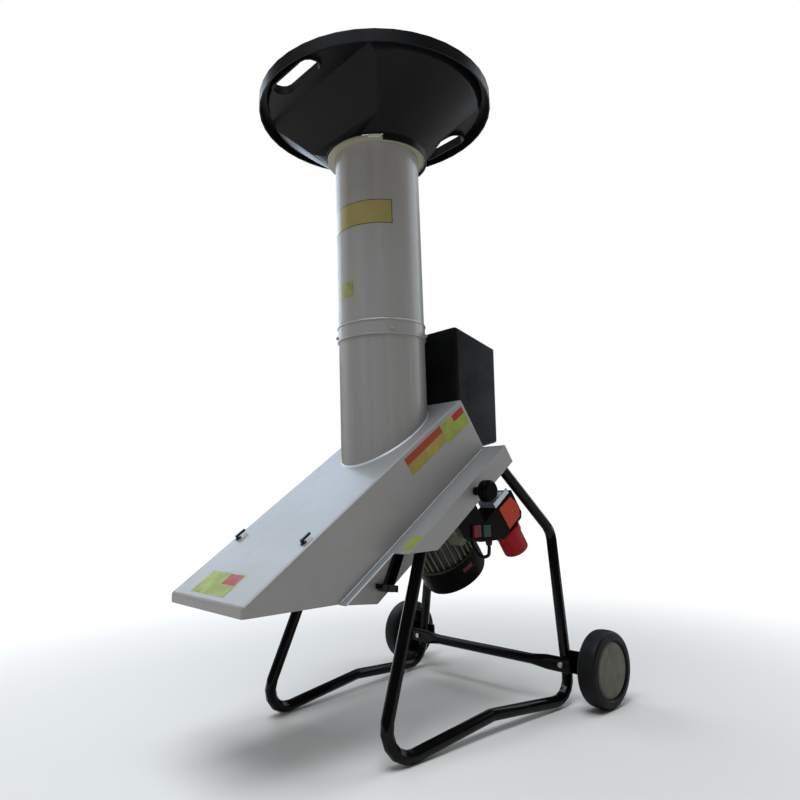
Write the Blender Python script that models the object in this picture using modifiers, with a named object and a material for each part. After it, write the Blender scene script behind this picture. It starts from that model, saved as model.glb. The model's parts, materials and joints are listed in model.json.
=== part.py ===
# Electric wood chipper: a round feed tube with a wide funnel stands on a sloping sheet-metal hood.
# Below the hood a motor turns a knife disc. Two bent-tube side frames with a crossbar and two wheels
# carry the machine. Metres, +Z up, origin on the ground under the middle of the machine.
# The chute points to -Y, the wheels stand at +Y, the switch is on the +X side, called left here.

import math

import bmesh
import bpy
from mathutils import Matrix, Vector

# Clearances
GAP = 0.0003
PLAY = 0.0005

# The slope: hood, pan, knife disc and motor all lie on it
SLOPE = math.radians(34.43)
HOOD_TOP_Z = 0.6082
LIP_REACH = 0.4396

# Sheet metal
SHEET = 0.0025
HOOD_HALF = 0.137
HOOD_REAR_S = 0.139
HOOD_DEPTH = 0.1307
HOOD_LIP = 0.018
HOOD_FOLD = 0.005
HOOD_SCREW_X = 0.1175
HOOD_SCREW_S = -0.371
LEVER_REACH = 0.021
LEVER_HEIGHT = 0.009
LEVER_THICK = 0.005
MOUTH_DROP = 0.3232
PAN_HALF = 0.1955
PAN_FRONT_S = -0.236
PAN_STRIP = 0.015
STRAP_THICK = 0.004
STRAP_FOOT = 0.022
STRAP_OUTLINE = [(-0.214, -0.1345), (-0.165, -0.1345), (-0.262, -0.189), (-0.283, -0.171)]
STRAP_FOOT_OUTLINE = [
    (-0.268, -0.184), (-0.276, -0.194), (-0.299, -0.173), (-0.302, -0.163), (-0.296, -0.157),
]
PAN_LIP = 0.045
PAN_REAR_LIP = 0.030
PAN_REACH = 0.002
CHUTE_DEPTH = 0.191
CHUTE_FRONT_S = -0.315
CHUTE_REAR_S = 0.134
RIM_OVERLAP = 0.0055

# Fasteners
SCREW_R = 0.003
SCREW_HEAD_R = 0.0055
SCREW_HEAD = 0.0035
BOLT_R = 0.004
BOLT_HEAD_R = 0.0065
BOLT_HEAD = 0.0045
NUT = 0.0045
BOLT_SIDES = 8

# Feed tube and funnel
TUBE_R = 0.100
TUBE_WALL = 0.002
TUBE_SINK = 0.010
SEAM_Z = 0.845
COLLAR_HEIGHT = 0.0355
COLLAR_THICK = 0.002
RIVET_AT = (-128, -28, 45, 152)
RIVET_R = 0.0045
RIVET_HEAD = 0.005
FUNNEL_R = 0.280
FUNNEL_TOP_Z = 1.4226
SKIRT_HEIGHT = 0.031
CONE_R = 0.250
CONE_DROP = 0.0346
NECK_R = 0.122
NECK_DROP = 0.1356
NECK_LENGTH = 0.017
FUNNEL_WALL = 0.003
RIM_ROUND = 0.003
SHOULDER = 0.012
FLAT_Y = 0.102
FLAT_BEND = 0.029
SHELF_Y = 0.176
SHELF_DROP = 0.0156
SLOT_LENGTH = 0.148
SLOT_WIDTH = 0.044
SLOT_R = 0.232
SLOT_WALL = 0.004
SLOT_COLLAR = 0.008
BAND_HEIGHT = 0.0067
NOTCH_DROP = 0.003
NOTCH_FROM = -34
NOTCH_TO = 137

# Rear hopper
HOPPER_HALF = 0.128
HOPPER_REAR_Y = 0.250
HOPPER_LEAN = 0.007
HOPPER_FRONT_RISE = 0.2498
HOPPER_REAR_RISE = 0.2133
HOPPER_FLOOR_DROP = 0.0162
HOPPER_WALL = 0.003
HOPPER_RADIUS = 0.006
WINDOW_HALF = 0.090
WINDOW_TOP_N = -0.022
WINDOW_LOW_N = -0.080

# Knife disc
DISC_R = 0.125
DISC_TOP_N = -0.100
DISC_THICK = 0.010
HUB_R = 0.028
HUB_LENGTH = 0.040
PADDLE_HEIGHT = 0.060
PADDLE_THICK = 0.005
PADDLE_INNER_R = 0.045
KNIFE_LENGTH = 0.075
KNIFE_WIDTH = 0.032
KNIFE_THICK = 0.005
KNIFE_MID_R = 0.077
KNIFE_PROUD = 0.001
KNIFE_GAP = 0.0015
KNIFE_BEVEL = 0.006
KNIFE_BOLT_X = 0.022
KNIFE_HEAD = 0.0012
CHIP_SLOT = 0.016
PLATE_AHEAD = 0.003
ANVIL_HEIGHT = 0.012
ANVIL_DEPTH = 0.035
ANVIL_BOLT_X = 0.060
DISC_WASHER = 0.003
DISC_SCREW = 0.021

# Motor
MOTOR_S = -0.003
SHAFT_R = 0.0085
BEARING_R = 0.0175
BEARING_WIDTH = 0.010
BEARING_LIP = 0.002
FLANGE_R = 0.092
FLANGE_THICK = 0.012
FLANGE_BOLT_R = 0.083
SPIGOT_R = 0.030
HOUSING_R = 0.066
HOUSING_WALL = 0.008
HOUSING_LENGTH = 0.1324
FIN_HEIGHT = 0.008
FIN_THICK = 0.0026
FIN_COUNT = 30
COWL_R = 0.080
COWL_WALL = 0.0015
COWL_ROUND = 0.012
COWL_ROWS = 3
SLOT_GAP = 0.006
FAN_R = 0.062
FAN_WIDTH = 0.026
FAN_HUB_R = 0.018
FAN_PLATE = 0.0025
FAN_GAP = 0.008
FAN_BLADES = 7
STATOR_LENGTH = 0.095
CORE_R = 0.035
AIR_GAP = 0.0008
TERMINAL_HALF = 0.036
TERMINAL_HEIGHT = 0.034
TERMINAL_LENGTH = 0.062
TERMINAL_TOP_N = -0.216
TERMINAL_WALL = 0.003
LID_THICK = 0.004

# Switch unit
SWITCH_X0 = 0.138
SWITCH_X1 = 0.188
SWITCH_TOP_N = -0.228
SWITCH_SIDE_N = -0.2114
SWITCH_BEND_S = -0.050
SWITCH_BEND_N = -0.254
SWITCH_LOW_N = -0.300
SWITCH_S0 = -0.0897
SWITCH_S1 = 0.103
SWITCH_STEP_S = -0.016
SWITCH_CHAMFER = 0.010
SWITCH_WALL = 0.003
BUTTON_Y = 0.012
BUTTON_Z = 0.0125
BUTTON_TRAVEL = 0.004
BUTTON_PROUD = 0.006
STOP_AT = (0.0845, 0.3945)
START_AT = (0.116, 0.393)
PLATE_THICK = 0.0015
SWITCH_PLATE = [
    (0.0400, -0.2345), (0.0895, -0.2370), (0.0980, -0.2600),
    (0.0980, -0.2780), (0.0890, -0.2920), (0.0420, -0.2920),
]
BRACKET_S = (0.033, 0.092)
BRACKET_LIP = 0.013
INLET_R = 0.0295
INLET_LENGTH = 0.062
INLET_S = 0.058
INLET_WALL = 0.0025
INLET_FLOOR = 0.018
PIN_R = 0.0025
PIN_SHY = 0.006
PIN_CIRCLE_R = 0.012
LEAD_R = 0.004
GLAND_R = 0.0085
GLAND_TIP_R = 0.0065
GLAND_LENGTH = 0.012
LEAD_SHARE = 0.66
LEAD_DROP = 0.034
LEAD_SIDE = 0.022
LEAD_STRAIGHT = 0.008

# Clamp knob on the pan's lip
KNOB_S = -0.007
KNOB_N = -0.152
KNOB_R = 0.023
KNOB_LENGTH = 0.026
KNOB_STUB = 0.020
KNOB_ROUND = 0.005
KNOB_NECK_R = 0.009
KNOB_NUT = 0.008
STUD_R = 0.004

# Side frames: a bent tube in a plane x = FRAME_X + TOE * y + SPLAY * z
FRAME_R = 0.0125
FRAME_X = 0.2144
TOE = 0.0758
SPLAY = -0.113
REAR_TOP = (0.155, 0.585)
REAR_BEND = (0.344, 0.380)
REAR_FOOT = (0.3215, 0.0125)
KNEE = (0.075, 0.0355)
FRONT_FOOT = (-0.215, 0.0055)
FRONT_TOP = (-0.031, 0.440)
BEND_R = 0.050
FRAME_SCREW = 0.014

# Crossbar, axles and wheels
CROSSBAR_Z = 0.085
CROSSBAR_R = 0.012
CROSSBAR_FLAT = 0.006
CROSSBAR_FLAT_HALF = 0.017
CROSSBAR_END = 0.022
CROSSBAR_TAPER = 0.040
AXLE_PLATE = 0.006
AXLE_PLATE_HALF = 0.025
AXLE_R = 0.008
TYRE_R = 0.082
TYRE_WIDTH = 0.045
WHEEL_X = 0.311
HUB_RIM_R = 0.061
HUB_WALL = 0.003
HUB_INSET = 0.002
HUB_FACE = 0.004
BOSS_R = 0.019
BOSS_PROUD = 0.003
CAP_THICK = 0.004
TYRE_ROUND = 0.009


def on_slope(s, n):
    """World y and z of a point given along the slope and normal to it, measured from the feed axis."""
    y = s * math.cos(SLOPE) - n * math.sin(SLOPE)
    z = HOOD_TOP_Z + s * math.sin(SLOPE) + n * math.cos(SLOPE)
    return y, z


def to_slope(y, z):
    """The same point back in slope coordinates."""
    s = y * math.cos(SLOPE) + (z - HOOD_TOP_Z) * math.sin(SLOPE)
    n = -y * math.sin(SLOPE) + (z - HOOD_TOP_Z) * math.cos(SLOPE)
    return s, n


def crossing(a, b, c, d):
    """Where the line through a and b meets the line through c and d."""
    run = (b[0] - a[0], b[1] - a[1])
    other = (d[0] - c[0], d[1] - c[1])
    share = ((c[0] - a[0]) * other[1] - (c[1] - a[1]) * other[0]) / (run[0] * other[1] - run[1] * other[0])
    return a[0] + share * run[0], a[1] + share * run[1]


def along(a, b, value, axis):
    """The other coordinate of the line from a to b where coordinate number axis has the value."""
    share = (value - a[axis]) / (b[axis] - a[axis])
    other = 1 - axis
    return a[other] + share * (b[other] - a[other])


# What follows from the sizes above
PAN_TOP_N = -(HOOD_DEPTH + GAP)
PAN_LOW_N = PAN_TOP_N - SHEET
PAN_REAR_S = HOOD_REAR_S + PAN_REACH
CHUTE_TOP_N = PAN_LOW_N - GAP
FLOOR_TOP_N = -CHUTE_DEPTH + SHEET
FLANGE_TOP_N = -CHUTE_DEPTH - GAP
FLANGE_LOW_N = FLANGE_TOP_N - FLANGE_THICK
HOUSING_TOP_N = FLANGE_LOW_N - GAP
HOUSING_LOW_N = HOUSING_TOP_N - HOUSING_LENGTH
BELL_TOP_N = HOUSING_LOW_N - GAP
COWL_TOP_N = BELL_TOP_N - GAP
DISC_LOW_N = DISC_TOP_N - DISC_THICK
FIN_TIP_R = HOUSING_R + FIN_HEIGHT
LEG_Y = along(REAR_FOOT, REAR_BEND, CROSSBAR_Z, 1)
LEG_X = FRAME_X + TOE * LEG_Y + SPLAY * CROSSBAR_Z
LEG_LEAN = (REAR_BEND[0] - REAR_FOOT[0]) / (REAR_BEND[1] - REAR_FOOT[1])
AXLE_PLATE_Y = LEG_Y + FRAME_R + AXLE_PLATE_HALF * LEG_LEAN + 2 * GAP
AXLE_Y = AXLE_PLATE_Y + AXLE_PLATE + AXLE_R / 2
TUBE_Y = (LIP_REACH - AXLE_Y - TYRE_R) / 2
CONE_TOP_Z = FUNNEL_TOP_Z - CONE_DROP
NECK_TOP_Z = FUNNEL_TOP_Z - NECK_DROP
NECK_BOTTOM_Z = NECK_TOP_Z - NECK_LENGTH
FLAT_BEND_Z = NECK_TOP_Z + FLAT_BEND
SHELF_Z = FUNNEL_TOP_Z - SHELF_DROP
SLOT_LOW_Z = SHELF_Z - SLOT_COLLAR
NOTCH_Z = NECK_TOP_Z - NOTCH_DROP
TUBE_TOP_Z = NECK_TOP_Z - FUNNEL_WALL - GAP
BAND_LOW_Z = TUBE_TOP_Z - BAND_HEIGHT
MOUTH_Z = HOOD_TOP_Z - MOUTH_DROP
HOPPER_FRONT_Z = HOOD_TOP_Z + HOPPER_FRONT_RISE
HOPPER_REAR_Z = HOOD_TOP_Z + HOPPER_REAR_RISE
HOPPER_FLOOR_Z = HOOD_TOP_Z - HOPPER_FLOOR_DROP

SIDES = (("left", 1), ("right", -1))

for old in list(bpy.data.objects):
    bpy.data.objects.remove(old)

PARTS = bpy.data.collections.new("wood_chipper")
CUTTERS = bpy.data.collections.new("cutters")
bpy.context.scene.collection.children.link(PARTS)
bpy.context.scene.collection.children.link(CUTTERS)


def finish(name, color, roughness, metallic=0.0):
    made = bpy.data.materials.new(name)
    made.use_nodes = True
    shader = made.node_tree.nodes["Principled BSDF"]
    shader.inputs["Base Color"].default_value = (*color, 1.0)
    shader.inputs["Roughness"].default_value = roughness
    shader.inputs["Metallic"].default_value = metallic
    return made


GREY_PAINT = ((0.47, 0.48, 0.50), 0.35, 0.3)
BLACK_PLASTIC = ((0.018, 0.018, 0.020), 0.42)
BLACK_ENAMEL = ((0.012, 0.012, 0.013), 0.22, 0.2)
RUBBER = ((0.020, 0.020, 0.021), 0.75)
CREAM = ((0.42, 0.41, 0.34), 0.5)
STEEL = ((0.45, 0.45, 0.46), 0.35, 1.0)
CAST = ((0.10, 0.098, 0.075), 0.5, 0.1)
COPPER = ((0.52, 0.22, 0.10), 0.4, 1.0)
RED = ((0.50, 0.02, 0.02), 0.35)
GREEN = ((0.02, 0.22, 0.08), 0.35)
ORANGE = ((0.75, 0.10, 0.02), 0.4)
ZINC = ((0.55, 0.60, 0.68), 0.3, 0.8)
OLIVE = ((0.30, 0.29, 0.20), 0.5)


def empty(name, parent=None, location=(0, 0, 0), tilt=0.0):
    made = bpy.data.objects.new(name, None)
    PARTS.objects.link(made)
    made.parent = parent
    made.location = location
    made.rotation_euler = (tilt, 0, 0)
    return made


# Frames of reference: the feed axis, the slope, the motor axis, each axle and the knob
MACHINE = empty("machine", None, (0, TUBE_Y, 0))
TILTED = empty("slope", MACHINE, (0, 0, HOOD_TOP_Z), SLOPE)
MOTOR = empty("motor_axis", TILTED, (0, MOTOR_S, 0))


def place(made, look, parent, shade=False):
    """Gives an object its material, collection and parent."""
    if look is None:
        made.data.materials.clear()
        CUTTERS.objects.link(made)
        made.hide_render = True
        made.display_type = "WIRE"
    else:
        PARTS.objects.link(made)
        made.data.materials.clear()
        made.data.materials.append(finish(made.name, *look))
    made.parent = parent
    if shade:
        made.data.shade_smooth()
        made.data.set_sharp_from_angle(angle=math.radians(35))
    return made


def from_bmesh(name, mesh, look, parent, shade=False):
    bmesh.ops.recalc_face_normals(mesh, faces=mesh.faces)
    data = bpy.data.meshes.new(name)
    mesh.to_mesh(data)
    mesh.free()
    return place(bpy.data.objects.new(name, data), look, parent, shade)


def box(name, low, high, look=None, parent=None):
    """A box between two opposite corners, with its origin in its middle."""
    mesh = bmesh.new()
    bmesh.ops.create_cube(mesh, size=1.0)
    bmesh.ops.scale(mesh, vec=Vector(high) - Vector(low), verts=mesh.verts)
    made = from_bmesh(name, mesh, look, parent)
    made.location = (Vector(high) + Vector(low)) / 2
    return made


TURNS = {
    "x": Matrix.Rotation(math.radians(90), 4, "Y"),
    "y": Matrix.Rotation(math.radians(-90), 4, "X"),
    "z": Matrix.Identity(4),
}


def rod(name, start, length, radius, axis="z", look=None, parent=None, sides=24, top=None):
    """A cylinder or cone that starts at its origin and runs along +axis."""
    mesh = bmesh.new()
    bmesh.ops.create_cone(
        mesh, cap_ends=True, segments=sides, radius1=radius, radius2=radius if top is None else top,
        depth=length, matrix=TURNS[axis] @ Matrix.Translation((0, 0, length / 2)),
    )
    made = from_bmesh(name, mesh, look, parent, sides > 8)
    made.location = start
    return made


def solid_of(curve):
    """The closed mesh of a curve with filled caps."""
    drawn = bpy.data.objects.new(curve.name, curve)
    CUTTERS.objects.link(drawn)
    bpy.context.view_layer.update()
    evaluated = drawn.evaluated_get(bpy.context.evaluated_depsgraph_get())
    data = bpy.data.meshes.new_from_object(evaluated)
    bpy.data.objects.remove(drawn)
    mesh = bmesh.new()
    mesh.from_mesh(data)
    bpy.data.meshes.remove(data)
    bmesh.ops.remove_doubles(mesh, verts=mesh.verts, dist=0.00005)
    return mesh


# How a drawing's own x, y and depth turn into the axes of its parent
PLANES = {
    "xy": Matrix.Identity(4),
    "yz": Matrix(((0, 0, 1, 0), (1, 0, 0, 0), (0, 1, 0, 0), (0, 0, 0, 1))),
}


def prism(name, outline, low, high, plane="yz", look=None, parent=None):
    """A closed outline drawn in a plane and extruded from low to high along the third axis."""
    curve = bpy.data.curves.new(name, "CURVE")
    curve.dimensions = "2D"
    curve.fill_mode = "BOTH"
    curve.extrude = (high - low) / 2
    line = curve.splines.new("POLY")
    line.points.add(len(outline) - 1)
    for point, (a, b) in zip(line.points, outline):
        point.co = (a, b, 0, 1)
    line.use_cyclic_u = True
    mesh = solid_of(curve)
    middle = Matrix.Translation((0, 0, (high + low) / 2))
    bmesh.ops.transform(mesh, matrix=PLANES[plane] @ middle, verts=mesh.verts)
    flat = math.radians(1)
    bmesh.ops.dissolve_limit(mesh, angle_limit=flat, verts=mesh.verts, edges=mesh.edges)
    return from_bmesh(name, mesh, look, parent)


def turned(name, profile, look=None, parent=None, steps=40, axis="z", origin=(0, 0, 0)):
    """A profile of radius and height, listed top to bottom on its outer side, spun about an axis."""
    data = bpy.data.meshes.new(name)
    made = bpy.data.objects.new(name, data)
    mesh = bmesh.new()
    verts = [mesh.verts.new((radius, 0, height)) for radius, height in profile]
    for first, second in zip(verts, verts[1:] + verts[:1]):
        mesh.edges.new((first, second))
    mesh.to_mesh(data)
    mesh.free()
    place(made, look, parent)
    screw = made.modifiers.new("turn", "SCREW")
    screw.steps = steps
    screw.render_steps = steps
    screw.use_merge_vertices = True
    screw.merge_threshold = 0.00005
    screw.use_smooth_shade = True
    made.matrix_basis = Matrix.Translation(origin) @ TURNS[axis]
    return made


def soften(made, radius, segments=3):
    """Rounds every sharp edge."""
    change = made.modifiers.new("round", "BEVEL")
    change.width = radius
    change.segments = segments
    change.limit_method = "ANGLE"
    change.angle_limit = math.radians(30)
    return made


def cut(target, tool, operation="DIFFERENCE"):
    """Cuts a tool out of the target, or joins it on."""
    change = target.modifiers.new(operation.lower(), "BOOLEAN")
    change.operation = operation
    change.solver = "EXACT"
    change.object = tool
    return target


def join(target, tool):
    return cut(target, tool, "UNION")


def fuse_tool(name, pieces, parent):
    """Several cutters or additions as one hidden tool."""
    bpy.context.view_layer.update()
    graph = bpy.context.evaluated_depsgraph_get()
    mesh = bmesh.new()
    for piece in pieces:
        data = bpy.data.meshes.new_from_object(piece.evaluated_get(graph))
        data.transform(parent.matrix_world.inverted() @ piece.matrix_world)
        mesh.from_mesh(data)
        bpy.data.meshes.remove(data)
    data = bpy.data.meshes.new(name)
    mesh.to_mesh(data)
    mesh.free()
    for piece in pieces:
        bpy.data.objects.remove(piece)
    return place(bpy.data.objects.new(name, data), None, parent)


def name_node(made, name, look):
    """Turns a hidden shape into a named part."""
    made.name = name
    CUTTERS.objects.unlink(made)
    made.hide_render = False
    made.display_type = "TEXTURED"
    return place(made, look, made.parent)


def bolt(start, axis, radius, length, head_r, head, parent, nut=0.0, flip=False):
    """A hexagon bolt whose shank starts under its head at a point and runs along the axis or back."""
    step = {"x": Vector((1, 0, 0)), "y": Vector((0, 1, 0)), "z": Vector((0, 0, 1))}[axis]
    origin = Vector(start)
    low = origin - step * length if flip else origin - step * head / 2
    head_low = origin if flip else origin - step * head
    nut_low = low if flip else origin + step * (length - nut)
    made = rod("shank", low, length + head / 2, radius, axis, parent=parent, sides=BOLT_SIDES)
    join(made, rod("head", head_low, head, head_r, axis, parent=parent, sides=6))
    if nut:
        join(made, rod("nut", nut_low, nut, head_r, axis, parent=parent, sides=6))
    return made


def rounded(corners, radius, steps=5):
    """A path through corner points with each inner corner rounded by an arc."""
    path = [Vector(corners[0])]
    for before, here, after in zip(corners, corners[1:], corners[2:]):
        before, here, after = Vector(before), Vector(here), Vector(after)
        back = (before - here).normalized()
        ahead = (after - here).normalized()
        half = back.angle(ahead) / 2
        reach = radius / math.tan(half)
        centre = here + (back + ahead).normalized() * radius / math.sin(half)
        first = here + back * reach - centre
        last = here + ahead * reach - centre
        turn = first.angle(last)
        for step in range(steps + 1):
            share = step / steps
            point = first * math.sin((1 - share) * turn) + last * math.sin(share * turn)
            path.append(centre + point / math.sin(turn))
    path.append(Vector(corners[-1]))
    return path


def pipe(name, path, radius, look=None, parent=None, resolution=2):
    """A round bar along a path, made a mesh so that it can be cut."""
    curve = bpy.data.curves.new(name, "CURVE")
    curve.dimensions = "3D"
    curve.bevel_depth = radius
    curve.bevel_resolution = resolution
    curve.use_fill_caps = True
    line = curve.splines.new("POLY")
    line.points.add(len(path) - 1)
    for point, position in zip(line.points, path):
        point.co = (*position, 1.0)
    return from_bmesh(name, solid_of(curve), look, parent, True)


def smooth_route(points, count):
    """A smooth curve through chosen points, read at even steps."""
    ends = [points[0] * 2 - points[1]] + points + [points[-1] * 2 - points[-2]]
    route = []
    spans = len(points) - 1
    for step in range(count + 1):
        place_on = min(step * spans / count, spans - 1e-9)
        span = int(place_on)
        t = place_on - span
        a, b, c, d = ends[span:span + 4]
        bend = (2 * a - 5 * b + 4 * c - d) * t * t + (3 * b - a - 3 * c + d) * t ** 3
        route.append(b + ((c - a) * t + bend) / 2)
    return route


# Feed tube: a lower section that stands on the hood and an upper one, joined by a collar

def feed_tube():
    low_n = -SHEET - TUBE_SINK
    reach = (TUBE_R + TUBE_SINK) * math.tan(SLOPE) + TUBE_SINK
    inner = TUBE_R - TUBE_WALL
    bottom = HOOD_TOP_Z - 2 * reach
    lower = turned(
        "lower_tube",
        [(TUBE_R, SEAM_Z), (TUBE_R, bottom), (inner, bottom), (inner, SEAM_Z)],
        GREY_PAINT, MACHINE,
    )
    below = box("below_hood", (-0.2, -0.4, low_n - 0.4), (0.2, 0.4, low_n), parent=TILTED)
    cut(lower, below)
    turned(
        "upper_tube",
        [(TUBE_R, TUBE_TOP_Z), (TUBE_R, SEAM_Z + GAP), (inner, SEAM_Z + GAP), (inner, TUBE_TOP_Z)],
        GREY_PAINT, MACHINE,
    )
    outer = TUBE_R + GAP + COLLAR_THICK
    top = SEAM_Z + COLLAR_HEIGHT / 2
    low = SEAM_Z - COLLAR_HEIGHT / 2
    collar = turned(
        "tube_collar",
        [(outer, top), (outer, low), (TUBE_R + GAP, low), (TUBE_R + GAP, top)],
        GREY_PAINT, MACHINE, steps=40,
    )
    for degrees in RIVET_AT:
        angle = math.radians(degrees)
        head = rod("rivet", (0, 0, 0), RIVET_HEAD, RIVET_R, "x", parent=MACHINE, sides=8)
        spot = Vector((math.cos(angle), math.sin(angle), 0)) * (outer - COLLAR_THICK / 2)
        spot.z = SEAM_Z - COLLAR_HEIGHT / 8
        head.matrix_basis = Matrix.Translation(spot) @ Matrix.Rotation(angle, 4, "Z")
        join(collar, head)


def racetrack(middle, half_length, half_width, steps=6):
    """Outline of a slot with round ends, long along x."""
    straight = half_length - half_width
    points = []
    for end in (1, -1):
        for step in range(steps + 1):
            angle = math.pi / 2 - math.pi * step / steps
            x = end * (straight + half_width * math.cos(angle))
            points.append((x, middle + end * half_width * math.sin(angle)))
    return points


# Funnel: a cone with a skirt round its rim, flattened on two sides to make room for a hand slot in each

def beside_flat(name, side, inset):
    """What a flat side takes away from the cone, drawn in by the inset."""
    out = side * 2 * FUNNEL_R
    outline = [
        (side * (FLAT_Y - inset), NECK_TOP_Z - inset), (side * (FLAT_Y - inset), FLAT_BEND_Z),
        (side * (SHELF_Y - inset), SHELF_Z + inset), (out, SHELF_Z + inset), (out, NECK_TOP_Z - inset),
    ]
    return prism(name, outline, -FUNNEL_R, FUNNEL_R, "yz", parent=MACHINE)


def funnel():
    wall = FUNNEL_WALL
    skirt_z = FUNNEL_TOP_Z - SKIRT_HEIGHT
    under_rim = FUNNEL_TOP_Z - wall
    over = FUNNEL_TOP_Z + wall
    fall = math.atan2(CONE_TOP_Z - NECK_TOP_Z, CONE_R - NECK_R)
    rise = wall / math.cos(fall) - wall * math.tan(fall)
    body = turned(
        "feed_funnel",
        [
            (CONE_R + SHOULDER, FUNNEL_TOP_Z), (CONE_R + SHOULDER, under_rim),
            (CONE_R + SHOULDER / 3, CONE_TOP_Z + SHOULDER), (CONE_R, CONE_TOP_Z), (NECK_R, NECK_TOP_Z),
            (NECK_R, NECK_BOTTOM_Z), (0, NECK_BOTTOM_Z), (0, FUNNEL_TOP_Z),
        ],
        BLACK_PLASTIC, MACHINE, steps=44,
    )
    bowl = turned(
        "bowl",
        [
            (CONE_R + SHOULDER - wall, over), (CONE_R + SHOULDER - wall, FUNNEL_TOP_Z),
            (CONE_R + SHOULDER / 3 - wall, CONE_TOP_Z + SHOULDER + wall),
            (CONE_R - wall, CONE_TOP_Z + rise), (NECK_R - wall, NECK_TOP_Z + rise),
            (NECK_R - wall, NECK_BOTTOM_Z - wall), (0, NECK_BOTTOM_Z - wall), (0, over),
        ],
        None, MACHINE, steps=44,
    )
    for side in (-1, 1):
        cut(body, beside_flat("flat", side, 0))
        cut(bowl, beside_flat("flat_inside", side, wall))
    join(body, turned(
        "rim",
        [
            (FUNNEL_R - RIM_ROUND, FUNNEL_TOP_Z), (FUNNEL_R, FUNNEL_TOP_Z - RIM_ROUND), (FUNNEL_R, skirt_z),
            (FUNNEL_R - wall, skirt_z), (FUNNEL_R - wall, under_rim), (CONE_R, under_rim),
            (CONE_R, FUNNEL_TOP_Z),
        ],
        None, MACHINE, steps=44,
    ))
    cut(body, bowl)
    half_length = SLOT_LENGTH / 2
    half_width = SLOT_WIDTH / 2
    for side in (-1, 1):
        pad = racetrack(side * SLOT_R, half_length + SLOT_WALL, half_width + SLOT_WALL)
        join(body, prism("slot_collar", pad, SLOT_LOW_Z, FUNNEL_TOP_Z - wall / 3, "xy", parent=MACHINE))
        hole = racetrack(side * SLOT_R, half_length, half_width)
        cut(body, prism("slot_hole", hole, NECK_TOP_Z, over, "xy", parent=MACHINE))
    cut(body, sector("neck_notch", 2 * NECK_R, NECK_BOTTOM_Z - wall, NOTCH_Z, NOTCH_TO, NOTCH_FROM + 360))
    seat_r = NECK_R - wall - GAP
    seat_top = TUBE_TOP_Z
    turned(
        "funnel_band",
        [(seat_r, seat_top), (seat_r, BAND_LOW_Z), (TUBE_R + GAP, BAND_LOW_Z), (TUBE_R + GAP, seat_top)],
        OLIVE, MACHINE,
    )


def sector(name, reach, low, high, start, stop, steps=12):
    """A slice of a disc about the feed axis, between two bearings in degrees."""
    turns = [math.radians(start + (stop - start) * step / steps) for step in range(steps + 1)]
    outline = [(reach * math.cos(turn), reach * math.sin(turn)) for turn in turns]
    return prism(name, outline + [(0, 0)], low, high, "xy", parent=MACHINE)


def mouth_corner():
    """Where the level mouth edge meets the hood's lower edge."""
    n = -HOOD_DEPTH
    s = (MOUTH_Z - HOOD_TOP_Z - n * math.cos(SLOPE)) / math.sin(SLOPE)
    return on_slope(s, n)


def hood_outline(inset, low):
    """Side view of the hood, drawn in from its outside by the sheet and let down by low."""
    front = -LIP_REACH + inset
    fall = math.tan(SLOPE)
    top = HOOD_TOP_Z + front * fall - inset / math.cos(SLOPE)
    rear = HOOD_REAR_S - inset
    corner_y, corner_z = mouth_corner()
    lip_z = HOOD_TOP_Z - LIP_REACH * fall - HOOD_LIP
    return [
        (front, top),
        (front, lip_z - low),
        (corner_y, corner_z - low),
        on_slope(rear, -HOOD_DEPTH - low),
        on_slope(rear, -inset),
    ]


def below_hood():
    """Everything under the hood's lower edge."""
    front = -LIP_REACH - HOOD_LIP
    lip_z = HOOD_TOP_Z - LIP_REACH * math.tan(SLOPE) - HOOD_LIP
    rear = HOOD_REAR_S + HOOD_LIP
    return [
        (front, 0), (front, lip_z), (-LIP_REACH, lip_z), mouth_corner(),
        on_slope(rear, -HOOD_DEPTH), on_slope(rear, -HOOD_DEPTH - HOOD_TOP_Z),
    ]


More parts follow.
